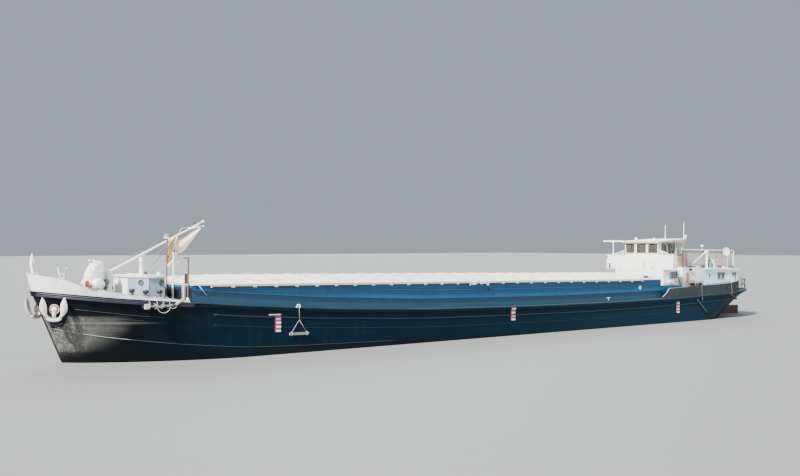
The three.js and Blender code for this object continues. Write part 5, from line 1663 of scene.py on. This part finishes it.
class VESSEL_OT_glazing(bpy.types.Operator):
    """Window frames, panes and header of the wheelhouse and windows of the houses"""

    bl_idname = "vessel.glazing"
    bl_label = "Glazing"

    def front(self, wheel):
        bay = WHEEL_FORE + 0.2
        fore = (WHEEL_FORE, bay)
        wheel.box(fore, (-1.45, 1.45), (5.525, 5.65), "cream", 0.008)
        wheel.box(fore, (-1.45, 1.45), (6.38, 6.5), "tan", 0.008)
        wheel.box((WHEEL_FORE - 0.02, bay + 0.012), (-1.46, 1.46), (5.63, 5.66), "cream", 0.01)
        for y in ((-1.45, -1.4), (-0.59, -0.45), (0.43, 0.57), (1.41, 1.45)):
            wheel.box(fore, y, (5.66, 6.38), "cream", 0.008)
        for y in ((-1.4, -0.59), (-0.45, 0.43), (0.57, 1.41)):
            pane(wheel, y, (5.66, 6.38), bay, 0, "front_glass", bar=0.022, frame_finish="cream")
        for y in (-0.87, 0.08, 1.02):
            wheel.tube([(bay + 0.03, y + 0.3, 5.68), (bay + 0.03, y + 0.02, 6.22)], 0.008, "black", 6)

    def door(self):
        door = Builder()
        leaf = WHEEL_HALF + 0.045
        # Door pane with the sky's reflection painted into its colour
        pane(door, (-18.66, -18.08), (5.66, 6.4), leaf, 1, "sky_reflection_glass", bar=0.025)
        for x, y, z, finish, bevel in (
                ((-18.73, -18.01), (leaf - 0.002, leaf + 0.014), (5.56, 5.69), "window_grey", 0.006),
                ((-18.73, -18.01), (leaf - 0.002, leaf + 0.014), (6.38, 6.45), "window_grey", 0.006),
                ((-18.73, -18.65), (leaf - 0.002, leaf + 0.013), (5.56, 6.45), "window_grey", 0.006),
                ((-18.09, -18.01), (leaf - 0.002, leaf + 0.013), (5.56, 6.45), "window_grey", 0.006),
                ((-18.012, -18.002), (WHEEL_HALF + 0.004, leaf + 0.01), (5.56, 6.45), "window_grey", 0.002),
                ((-18.6, -18.14), (leaf - 0.002, leaf + 0.01), (4.85, 5.45), "tan", 0.02)):
            door.box(x, y, z, finish, bevel)
        door.tube([(-18.12, leaf + out, z) for out,
                   z in ((0.02, 5.2), (0.04, 5.25), (0.04, 5.4), (0.02, 5.45))],
                  0.012, "bronze")
        door.make("wheelhouse_door_window", "wheelhouse_door", "varnish")

    def houses(self):
        houses = Builder()
        for _ in houses.sides():
            pane(houses, (-17.27, -16.4), (3.89, 4.4), HOUSE, 1, bar=0.035, frame_finish="grey_white")
            for x in (-17.0525, -16.835, -16.6175):
                houses.box((x - 0.012, x + 0.012), (HOUSE, HOUSE + 0.006), (3.92, 4.37), "grey_white")
            for z in (4.06, 4.23):
                houses.box((-17.24, -16.43), (HOUSE, HOUSE + 0.006), (z - 0.012, z + 0.012), "grey_white")
            for x0, x1 in ((-22.85, -21.85), (-24.34, -23.77)):
                pane(houses, (x0, x1), (3.81, 4.36), MID_HOUSE, 1, bar=0.04, frame_finish="grey_white")
                middle = (x0 + x1) / 2
                houses.box((middle - 0.025, middle + 0.025), (2.27, 2.312), (3.84, 4.33), "grey_white",
                           0.006)
                houses.box((x0 + 0.05, middle - 0.1), (2.2, 2.21), (3.85, 4.32), "curtain")
                houses.box((x0 - 0.03, x1 + 0.03), (MID_HOUSE, 2.34), (4.37, 4.4), "pale", 0.006)
        houses.make("house_windows")

    def execute(self, context):
        half = WHEEL_HALF
        wheel = Builder()
        self.front(wheel)
        for y in (-0.7, 0.7):
            pane(wheel, (y - 0.5, y + 0.5), (5.74, 6.56), WHEEL_AFT, 0, "clear", out=-1)
        for port in wheel.sides():
            # The port door slides forward over the second pane: that one lies flush and the bands stop short
            band_end = -17.3 if port > 0 else WHEEL_AFT
            for x, flush in (((-16.98, -16.24), 0.0), ((-17.94, -17.06), 0.018)):
                pane(wheel, x, (5.66, 6.42), half - flush, 1, "clear", bar=0.03)
            for z in ((5.56, 5.69), (6.4, 6.47)):
                wheel.box((band_end, -16.2), (half, half + 0.013), z, "window_grey", 0.006)
            wheel.box((-17.06, -16.98), (half, half + 0.012), (5.6, 6.45), "window_grey", 0.006)
            wheel.box((-16.26, -16.1), (half, half + 0.016), (5.6, 6.5), "cream", 0.01)
            wheel.tube([(-16.66, half + 0.03, 6.46), (-16.85, half + 0.05, 6.15),
                        (-17.05, half + 0.03, 5.78)], 0.016)
        pane(wheel, (-18.7, -18.04), (5.66, 6.5), -half, 1, "clear", bar=0.03, out=-1)
        wheel.make("wheelhouse_windows", slot="varnish")
        self.door()
        self.houses()
        return {"FINISHED"}


class VESSEL_OT_wheelhouse(bpy.types.Operator):
    """Roof edge, lamp, horn and searchlight of the wheelhouse, and its inside"""

    bl_idname = "vessel.wheelhouse"
    bl_label = "Wheelhouse"

    def roof_at(self, x, above=0.0):
        return 6.57 + 0.07 * (WHEEL_FORE - x) + above

    def execute(self, context):
        fore, aft, half, roof_at = WHEEL_FORE, WHEEL_AFT, WHEEL_HALF, self.roof_at
        roof = Builder()
        edge = [(fore + 0.34, -half - 0.14), (fore + 0.34, half + 0.14), (aft - 0.12, half + 0.14),
                (aft - 0.12, -half - 0.14)]
        roof.tube([(x, y, roof_at(x, -0.02)) for x, y in edge], 0.018, closed=True)
        roof.box((fore + 0.1, fore + 0.34), (-half - 0.13, half + 0.13), (6.505, 6.545), "white", 0.012)
        roof.box((fore + 0.31, fore + 0.365), (-half - 0.14, half + 0.14), (6.43, 6.545), "tan", 0.008)
        for _ in roof.sides():
            roof.prism([(x, half + 0.115, z) for x, z in ((fore + 0.34, 6.45), (fore + 0.34, 6.52),
                                                          (aft, roof_at(aft, -0.05)),
                                                          (aft, roof_at(aft, -0.12)))],
                       (0, 0.02, 0), "tan")
        for y in (-0.7, 0.0, 0.7):
            roof.tube([(x, y, roof_at(x)) for x in (fore + 0.1, aft - 0.08)], 0.016, sides=6)
        roof.turned([(0.05, 0), (0.05, 0.06), (0.08, 0.08), (0.09, 0.16), (0.05, 0.2)],
                    (-16.05, -0.55, roof_at(-16.05)),
                    "lamp", 14)
        x, y = aft + 0.02, half + 0.06
        roof.tube([(x, y, 6.5), (x - 0.04, y + 0.02, 6.72)], 0.045, sides=10)
        roof.tube([(x - 0.02, y + 0.02, 6.72), (x - 0.1, y + 0.05, 7.02)], 0.04, sides=10, taper=1.4)
        roof.tube([(x + 0.02, y + 0.02, 6.72), (x + 0.1, y + 0.03, 6.95)], 0.03, sides=10)
        roof.turned([(0.04, 0), (0.04, 0.05), (0.09, 0.06), (0.11, 0.14), (0.1, 0.2), (0.02, 0.22)],
                    (-16.6, -1.0, roof_at(-16.6, -0.01)), sides=16)
        roof.turned([(0.03, 0), (0.05, 0.12), (0.09, 0.3), (0.1, 0.31)], (-16.3, 1.05, roof_at(-16.3, 0.06)),
                    "white",
                    14, (1, 0, 0.05))
        roof.box((-16.34, -16.26), (1.0, 1.1), (roof_at(-16.3, -0.02), roof_at(-16.3, 0.08)), "white", 0.01)
        for x, y in ((-16.95, 1.3), (-19.0, 1.4)):
            roof.turned([(0.05, -0.02), (0.05, 0.05), (0.03, 0.08), (0.028, 0.3)], (x, y, roof_at(x)),
                        sides=12)
        roof.make("wheelhouse_roof_fittings")

        inside = Builder()
        inside.box((-18.9, -18.75), (-1.35, 1.35), (4.75, 5.5), "tan", 0.02)
        inside.box((-16.72, -16.3), (-0.75, -0.2), (5.6, 5.75), "black", 0.02)
        inside.box((-16.72, -16.35), (0.25, 0.7), (5.6, 5.72), "grey", 0.02)
        inside.turned([(0.2, 0), (0.22, 0.04), (0.05, 0.06), (0.05, 0.45), (0.24, 0.48), (0.26, 0.56),
                       (0.05, 0.58)],
                      (-17.75, 0.0, 4.68), "black", 18)
        inside.box((-18.02, -17.94), (-0.22, 0.22), (5.3, 5.85), "black", 0.03)
        inside.box((-17.6, -16.35), (-1.39, -1.36), (5.62, 6.4), "curtain")
        inside.make("wheelhouse_inside", slot="varnish")
        return {"FINISHED"}


class VESSEL_OT_house_sides(bpy.types.Operator):
    """Panels, pipes, ledges, handrails and deck boxes along the stern houses"""

    bl_idname = "vessel.house_sides"
    bl_label = "House sides"

    def slab(self, side, x0, x1, wall, thick, z0, z1, finish, bevel=0.0):
        """A plate that stands out from a wall."""
        side.box((x0, x1), (wall - 0.005, wall + thick), (z0, z1), finish, bevel)

    def walls(self, side):
        """Louvres, panels and seams."""
        self.slab(side, -18.38, -17.94, MID_HOUSE, 0.03, 3.6, 4.37, "louvre_white", 0.012)
        for k in range(9):
            z = 3.64 + k * 0.078
            self.slab(side, -18.35, -17.97, MID_HOUSE, 0.045, z, z + 0.045, "louvre_red", 0.008)
        self.slab(side, -20.93, -20.81, MID_HOUSE, 0.02, 3.98, 4.24, "inside")
        self.slab(side, -20.97, -20.77, MID_HOUSE, 0.014, 3.94, 4.28, "pale", 0.006)
        for x in (-18.73, -19.89, -20.02):
            self.slab(side, x - 0.012, x + 0.012, MID_HOUSE, 0.014, 3.05, 4.6, "grey_white", 0.004)
        self.slab(side, -19.8, -18.8, MID_HOUSE, 0.012, 3.2, 4.5, "white", 0.02)
        self.slab(side, -18.63, -18.36, MID_HOUSE, 0.1, 4.48, 4.62, "black", 0.02)
        for x in (-21.2, -21.5, -23.3, -23.6):
            self.slab(side, x - 0.008, x + 0.008, MID_HOUSE, 0.008, 3.1, 4.5, "pale")

    def pipes(self, side):
        """Drip rails, drain pipe with its clips, and the handrail."""
        side.tube([(-20.1, 2.36, 4.64), (-24.66, 2.36, 4.64)], 0.02, "pale", 6)
        side.tube([(-20.0, 2.32, 3.5), (-24.5, 2.32, 3.72)], 0.012, "pale", 6)
        out = HOUSE + 0.06
        side.bend([(-17.1, HOUSE + 0.04, 4.5), (-17.18, out, 4.3), (-17.4, out, 3.85), (-17.48, out, 3.6),
                   (-17.6, out, 3.25), (-17.62, out, 3.0)], 4, 0.026, "black")
        for x, z in ((-17.1, 4.2), (-17.36, 3.7), (-17.36, 3.3)):
            self.slab(side, -17.5, x, HOUSE, 0.03, z, z + 0.03, "grey", 0.004)
        side.bend([(-20.3, 2.36, 3.4), (-20.45, 2.4, 3.56), (-21.3, 2.4, 3.63), (-23.2, 2.4, 3.77),
                   (-24.4, 2.4, 3.84)],
                  4, sizes().handrail, "pale_blue")
        for x in (-20.6, -21.6, -22.5, -23.4, -24.3):
            z = 3.57 + (-20.45 - x) * 0.07
            side.tube([(x, 2.29, z - 0.1), (x, 2.4, z)], 0.014, "pale_blue", 6)

    def things(self, side):
        """Ledge with a covered box, plant pots and a wire crate on the side deck."""
        self.slab(side, -17.0, -15.0, 2.15, 0.5, 3.38, 3.44, "pale_blue", 0.01)
        side.box((-16.5, -15.75), (2.18, 2.5), (3.44, 3.66), "mat", 0.05)
        side.box((-16.35, -15.85), (2.2, 2.46), (3.64, 3.78), "white", 0.06)
        for x, size in ((-18.35, 0.1), (-18.62, 0.12)):
            side.turned([(size * 0.7, 0), (size, 0.2), (size * 1.08, 0.2), (size * 1.08, 0.24),
                         (size * 0.8, 0.22)],
                        (x, 2.52, 3.4), "clay", 14)
            side.box((x - 0.14, x + 0.14), (2.4, 2.64), (deck_at(-18.6), 3.4), "hull_trim", 0.02)
            for k in range(14):
                reach = size * (0.5 + 0.06 * k)
                way = (reach * math.cos(k * 2.4), side.port * reach * math.sin(k * 2.4))
                side.tube([(x, 2.52, 3.6), (x + 0.4 * way[0], 2.52 + 0.4 * way[1], 3.74),
                           (x + way[0], 2.52 + way[1], 3.7 + 0.01 * k)], 0.016, "leaf", 5, taper=0.2)
        side.box((-19.56, -18.98), (2.36, 2.7), (3.3, 3.34), "black", 0.005)
        side.box((-19.56, -18.98), (2.36, 2.7), (deck_at(-19.3), 3.3), "hull_trim", 0.02)
        for k in range(7):
            x = -19.56 + k * 0.0967
            side.tube([(x, 2.7, 3.32), (x, 2.7, 3.68)], 0.012, "black", 6)
        for z in (3.4, 3.5, 3.6, 3.68):
            side.tube([(-19.56, 2.36, z), (-19.56, 2.7, z), (-18.98, 2.7, z), (-18.98, 2.36, z)], 0.012,
                      "black", 6)
        side.box((-19.5, -19.04), (2.4, 2.66), (3.34, 3.6), "inside", 0.02)

    def execute(self, context):
        side = Builder()
        for _ in side.sides():
            self.walls(side)
            self.pipes(side)
            self.things(side)
        side.make("house_side_fittings")
        return {"FINISHED"}


class VESSEL_OT_terrace(bpy.types.Operator):
    """Boards and rails of the roof screen, and things kept on the roof"""

    bl_idname = "vessel.terrace"
    bl_label = "Roof terrace"

    BOARD = 0.105                    # width of a board of the screen
    PARASOL = (-18.32, 2.05)
    PARASOL_HEIGHT = 1.1
    # Boxes on the roof: x, y, z above the aft roof, finish, bevel
    BOXES = (
        ((-21.9, -21.45), (1.98, 2.3), (0, 0.6), "pale_blue_white", 0.04),
        ((-21.95, -21.4), (1.95, 2.33), (0.6, 0.66), "white", 0.02),
        ((-21.35, -21.05), (2.0, 2.28), (0, 0.42), "teal", 0.03),
        ((-21.33, -21.07), (2.02, 2.26), (0.42, 0.5), "yellow", 0.03),
        ((-19.95, -19.5), (2.0, 2.2), (0.06, 0.22), "boards", 0.02),
        ((-20.4, -20.1), (2.0, 2.24), (0, 0.3), "steel", 0.03),
        ((-23.2, -21.6), (-0.45, 0.15), (0.7, 0.74), "boards_pale", 0.01),
    )
    # Round things on the roof: profile, x, y, finish, sides
    ROUND = (
        (((0.1, 0), (0.14, 0.26), (0.15, 0.26), (0.15, 0.29), (0.12, 0.27)), -22.2, 2.14, "pink", 18),
        (((0.08, 0), (0.11, 0.2), (0.12, 0.22), (0.1, 0.2)), -22.5, 2.18, "red", 16),
        (((0.16, 0), (0.18, 0.05), (0.16, 0.14), (0.05, 0.17)), -22.9, 2.12, "white", 18),
    )

    def screen(self):
        low, high = corners("roof_screen")
        screen = Builder()
        pick = random.Random(3)
        x = high.x - 0.1
        while x > low.x + 0.14:
            lean = pick.uniform(-0.006, 0.006)
            drop = pick.uniform(0.0, 0.03)
            screen.box((x - self.BOARD, x), (1.86 + lean, 1.884 + lean), (4.78, high.z - 0.05 - drop),
                       pick.choice(("boards_pale", "boards_pale", "boards")), 0.006)
            x -= self.BOARD + 0.028
        screen.box((low.x + 0.02, high.x), (1.8, 1.93), (high.z - 0.05, high.z + 0.01), "white", 0.012)
        screen.box((low.x - 0.005, low.x + 0.07), (1.8, 1.93), (4.62, high.z), "white", 0.01)
        screen.tube([(low.x, 1.84, 4.78), (high.x, 1.84, 4.78)], 0.02, "boards", 6)
        screen.make("screen_boards", slot="boards")

    def things(self):
        terrace = Builder()
        z0 = AFT_ROOF_Z
        # Low rail to starboard and aft
        for z in (z0 + 0.5, z0 + 0.95):
            terrace.tube([(-18.4, -2.2, z), (-24.5, -2.2, z), (-24.55, -2.1, z), (-24.55, 1.75, z)], 0.02)
        for x, y in ((-18.4, -2.2), (-20.4, -2.2), (-22.4, -2.2), (-24.5, -2.2), (-24.55, -0.8),
                     (-24.55, 0.6),
                     (-24.55, 1.75)):
            base = roof_below(x)
            terrace.tube([(x, y, base), (x, y, z0 + 0.96)], 0.022)
            terrace.turned([(0.06, 0), (0.06, 0.015), (0.03, 0.03)], (x, y, base), sides=12)
        for x, y, (foot, top), finish, bevel in self.BOXES:
            terrace.box(x, y, (z0 + foot, z0 + top), finish, bevel)
        for profile, x, y, finish, sides in self.ROUND:
            terrace.turned(profile, (x, y, z0), finish, sides)
        # Benches, and legs of the table
        for y in (-0.9, 0.6):
            terrace.box((-23.4, -21.4), (y - 0.2, y + 0.2), (z0 + 0.42, z0 + 0.46), "boards_pale", 0.01)
            for x in (-23.2, -21.6):
                terrace.block((x, y), (0.03, 0.17), (z0, z0 + 0.42), "grey", 0.008)
        for x, y in ((-23.05, -0.35), (-21.75, -0.35), (-23.05, 0.05), (-21.75, 0.05)):
            terrace.tube([(x, y, z0), (x, y, z0 + 0.7)], 0.025, "grey")
        for x in (-18.3, -19.4, -22.0, -24.0):
            base = roof_below(x) + 0.012
            terrace.tube([(x, -2.3, base), (x, 1.75, base)], 0.012, sides=6)
        terrace.make("terrace_things")

    def lamp(self):
        """An oval lamp on top of the screen."""
        oval = Builder()
        oval.turned([(0.03, 0), (0.03, 0.24), (0.1, 0.25), (0.13, 0.31), (0.1, 0.37), (0.03, 0.38)],
                    (-20.6, 1.86, 5.95),
                    sides=18)
        oval.tube([(-20.6, 1.86, 5.92), (-20.6, 1.86, 6.2)], 0.02)
        oval.make("screen_lamp")

    def parasol(self):
        parasol = Builder()
        rows = []
        for i in range(12):
            size = 0.075 * math.sin(math.pi * min(0.93, 0.25 + i / 14)) + 0.012
            rows.append(flute(self.PARASOL, size, 6, 0.3, i * 0.2, ROOF_Z + 0.14 + i * 0.1, 36))
        area = parasol.grid(rows, "red_cloth")
        piece = parasol.make("closed_parasol", slot="boards")
        pole = Builder()
        pole.tube([(*self.PARASOL, ROOF_Z + 0.02), (*self.PARASOL, ROOF_Z + 1.32)], 0.02, "grey")
        pole.turned([(0.2, 0), (0.2, 0.05), (0.05, 0.08), (0.04, 0.16)], (*self.PARASOL, ROOF_Z), "grey", 18)
        pole.make("parasol_pole", slot="steel")

    def execute(self, context):
        self.screen()
        self.things()
        self.lamp()
        self.parasol()
        return {"FINISHED"}


class VESSEL_OT_crane(bpy.types.Operator):
    """Bands, winch, wire and hook of the small crane, and the dish with its feed arm"""

    bl_idname = "vessel.crane"
    bl_label = "Crane and dish"

    X, Y = -20.8, 2.12
    PIVOT = 5.9
    DROOP = math.radians(28.4)       # the arm below level, at rest
    DISH = ((0.015, -0.05), (0.12, -0.042), (0.22, -0.018), (0.3, 0.02), (0.315, 0.03), (0.31, 0.036),
            (0.296, 0.03), (0.22, -0.006), (0.12, -0.03), (0.015, -0.038))

    def post(self):
        x, y = self.X, self.Y
        post = Builder()
        for z in (4.66, 5.0, 5.5, 5.68):
            post.turned([(0.08, 0), (0.098, 0.015), (0.098, 0.05), (0.08, 0.065)], (x, y, z), sides=18)
        post.turned([(0.02, -0.05), (0.058, -0.045), (0.058, -0.035), (0.035, -0.03), (0.035, 0.03),
                     (0.058, 0.035),
                     (0.058, 0.045), (0.02, 0.05)], (x - 0.1, y, 5.15), "steel", 18, (0, 1, 0))
        for side in (-0.062, 0.05):
            post.box((x - 0.15, x - 0.04), (y + side, y + side + 0.012), (5.07, 5.23), "steel", 0.004)
        post.tube([(x - 0.1, y + 0.05, 5.15), (x - 0.1, y + 0.09, 5.15), (x - 0.12, y + 0.09, 5.23)], 0.01,
                  "steel", 6)
        for a in turn(4):
            a += math.pi / 4
            post.turned([(0.015, 0), (0.015, 0.025), (0.005, 0.03)],
                        (x + 0.12 * math.cos(a), y + 0.12 * math.sin(a), 4.65), "grey", 6)
        post.make("crane_post_fittings", "crane_post")

    def arm(self):
        foot = Vector((self.X, self.Y, self.PIVOT))
        heading = Vector((math.cos(self.DROOP), 0, -math.sin(self.DROOP)))
        up = Vector((math.sin(self.DROOP), 0, math.cos(self.DROOP)))
        arm = Builder()
        for share, radius in ((0.12, 0.052), (0.5, 0.05), (0.93, 0.046)):
            arm.turned([(radius, -0.025), (radius + 0.01, -0.012), (radius + 0.01, 0.012), (radius, 0.025)],
                       foot + heading * 1.93 * share, "white", 16, heading)
        tip = foot + heading * 1.9
        hook = tip + Vector((0.01, 0, -0.1))
        arm.turned([(0.02, -0.02), (0.05, -0.018), (0.035, 0), (0.05, 0.018), (0.02, 0.02)], tip + up * 0.02,
                   "steel",
                   16, (0, 1, 0))
        arm.tube([foot + heading * 0.2 + up * 0.1, foot + heading * 1.85 + up * 0.075], 0.008, "wire", 6)
        for share in (0.2, 0.9):
            arm.ring(foot + heading * 1.93 * share + up * 0.07, 0.022, 0.007, (0, 1, 0), "steel", 12, 5)
        arm.turned([(0.015, 0), (0.035, 0.015), (0.035, 0.045), (0.015, 0.06)], hook + Vector((0, 0, 0.015)),
                   "steel", 12)
        arm.ring(hook, 0.024, 0.008, (0, 1, 0), "steel", 14, 6)
        arm.make("crane_arm_fittings", "crane_arm")

    def execute(self, context):
        self.post()
        self.arm()
        low, high = corners("dish")
        centre = Vector(((low.x + high.x) / 2 + 0.14, (low.y + high.y) / 2, 5.87))
        out = Vector((0.34, 0.94, 0.1)).normalized()
        foot = (centre.x - 0.14, low.y + 0.2)
        dish = Builder()
        dish.turned(self.DISH, centre, "white", 36, out)
        dish.tube([centre + Vector((0, 0, drop)) + out * away for drop, away in
                   ((-0.3, 0.03), (-0.16, 0.2), (-0.04, 0.26))], 0.01, "grey", 6)
        dish.turned([(0.02, 0), (0.035, 0.01), (0.035, 0.07), (0.02, 0.09)],
                    centre + out * 0.25 + Vector((0, 0, -0.03)),
                    "grey", 12, -out)
        dish.tube([centre - out * 0.05, (*foot, 5.75), (*foot, AFT_ROOF_Z)], 0.028, sides=10)
        dish.turned([(0.08, 0), (0.08, 0.02), (0.04, 0.04), (0.03, 0.1)], (*foot, AFT_ROOF_Z), sides=14)
        dish.make("dish_plate", stands_for="dish")
        return {"FINISHED"}


class VESSEL_OT_stern(bpy.types.Operator):
    """Worn band and capping of the stern bulwark, white loops and stern fittings"""

    bl_idname = "vessel.stern"
    bl_label = "Stern"

    CAP_X = (-14.1, -14.3, -14.45, -14.7, -14.85, -16, -17, -18.4, -20, -21, -22.1, -22.8, -23.4)
    STAY_X = (-15.4, -16.6, -17.8, -19.6, -20.8, -22.0)

    def bulwark(self, stern):
        """Capping and stays."""
        def face(x, z):
            return meet("stern_bulwark_port", (x, 6, z), (0, -1, 0))

        places = [(x, face(x, along(STERN_TOP, x) - 0.03)) for x in self.CAP_X]
        cap = [(x, place.y - 0.03, along(STERN_TOP, x)) for x, place in places if place]
        stern.bend(cap[4:], 3, 0.03, "worn_top")
        stern.bend(cap[:6], 2, 0.02, "pale_edge")
        for x in self.STAY_X:
            deck = deck_at(x)
            place = face(x, deck + 0.3)
            if place:
                inner = place.y - 0.1
                stern.prism([(x - 0.01, inner, deck), (x - 0.01, inner - 0.18, deck),
                             (x - 0.01, inner, along(STERN_TOP, x) - 0.08)], (0.02, 0, 0), "hull_trim")

    def execute(self, context):
        stern = Builder()
        for _ in stern.sides():
            self.bulwark(stern)
        # White loop at the port quarter, post and bollards
        stern.bend([(-23.25, 2.62, 3.45), (-23.35, 2.66, 3.95), (-23.5, 2.66, 4.0), (-23.9, 2.5, 3.5),
                    (-24.1, 2.42, 3.2)],
                   5, 0.022)
        stern.tube([(-24.3, 1.2, deck_at(-24.3)), (-24.3, 1.2, 4.1)], 0.03, "steel")
        for y in (-1.3, 1.3):
            stern.turned([(0.12, 0), (0.12, 0.03), (0.06, 0.05), (0.06, 0.3), (0.1, 0.32), (0.1, 0.38),
                          (0.03, 0.4)],
                         (-25.6, y, deck_at(-25.6) - 0.02), "black", 18)
        # Round stern lamp on the rail
        stern.turned([(0.04, 0), (0.07, 0.03), (0.07, 0.14), (0.03, 0.18)], (-27.2, 0, 3.9), "lamp", 14)
        stern.tube([(-27.2, 0, 3.8), (-27.2, 0, 3.92)], 0.02, "steel")
        stern.make("stern_fittings", slot="steel")

        door = Builder()
        door.box((-24.625, -24.6), (-0.25, 0.25), (3.2, 3.7), "tan", 0.02)
        door.box((-24.63, -24.6), (-0.24, 0.24), (3.85, 4.3), "grey", 0.01)
        door.box((-24.64, -24.62), (-0.2, 0.2), (3.89, 4.26), "glass")
        door.tube([(-24.63, 0.28, 3.75), (-24.68, 0.28, 3.75), (-24.68, 0.2, 3.75)], 0.012, "bronze")
        door.make("aft_door_fittings", "aft_door", "varnish")
        return {"FINISHED"}


PIECES = (
    VESSEL_OT_stage, VESSEL_OT_finishes, VESSEL_OT_bow_fenders, VESSEL_OT_hull_trim, VESSEL_OT_bow_moulding,
    VESSEL_OT_anchors, VESSEL_OT_bow_gear, VESSEL_OT_deck_heads, VESSEL_OT_fore_house, VESSEL_OT_rigging,
    VESSEL_OT_flags, VESSEL_OT_hung_fenders, VESSEL_OT_covers, VESSEL_OT_coaming, VESSEL_OT_front,
    VESSEL_OT_glazing, VESSEL_OT_wheelhouse, VESSEL_OT_house_sides, VESSEL_OT_terrace, VESSEL_OT_crane,
    VESSEL_OT_stern,
)


class VESSEL_PT_panel(bpy.types.Panel):
    """Lists the vessel's pieces"""

    bl_label = "Inland Cargo Vessel"
    bl_idname = "VESSEL_PT_panel"
    bl_space_type = "VIEW_3D"
    bl_region_type = "UI"
    bl_category = "Vessel"

    def draw(self, context):
        for piece in PIECES:
            self.layout.operator(piece.bl_idname)
        for settings in (context.scene.vessel_colours, context.scene.vessel_sizes,
                         context.scene.vessel_stage):
            for name in settings.__annotations__:
                self.layout.prop(settings, name)


SETTINGS = (("vessel_colours", VesselColours), ("vessel_sizes", VesselSizes), ("vessel_stage", VesselStage))


def register():
    for name, settings in SETTINGS:
        bpy.utils.register_class(settings)
        setattr(bpy.types.Scene, name, bpy.props.PointerProperty(type=settings))
    for cls in (*PIECES, VESSEL_PT_panel):
        bpy.utils.register_class(cls)


def unregister():
    for cls in (VESSEL_PT_panel, *reversed(PIECES)):
        bpy.utils.unregister_class(cls)
    for name, settings in reversed(SETTINGS):
        delattr(bpy.types.Scene, name)
        bpy.utils.unregister_class(settings)


def main():
    register()
    for piece in PIECES:
        category, name = piece.bl_idname.split(".")
        getattr(getattr(bpy.ops, category), name)()


if __name__ == "__main__":
    main()
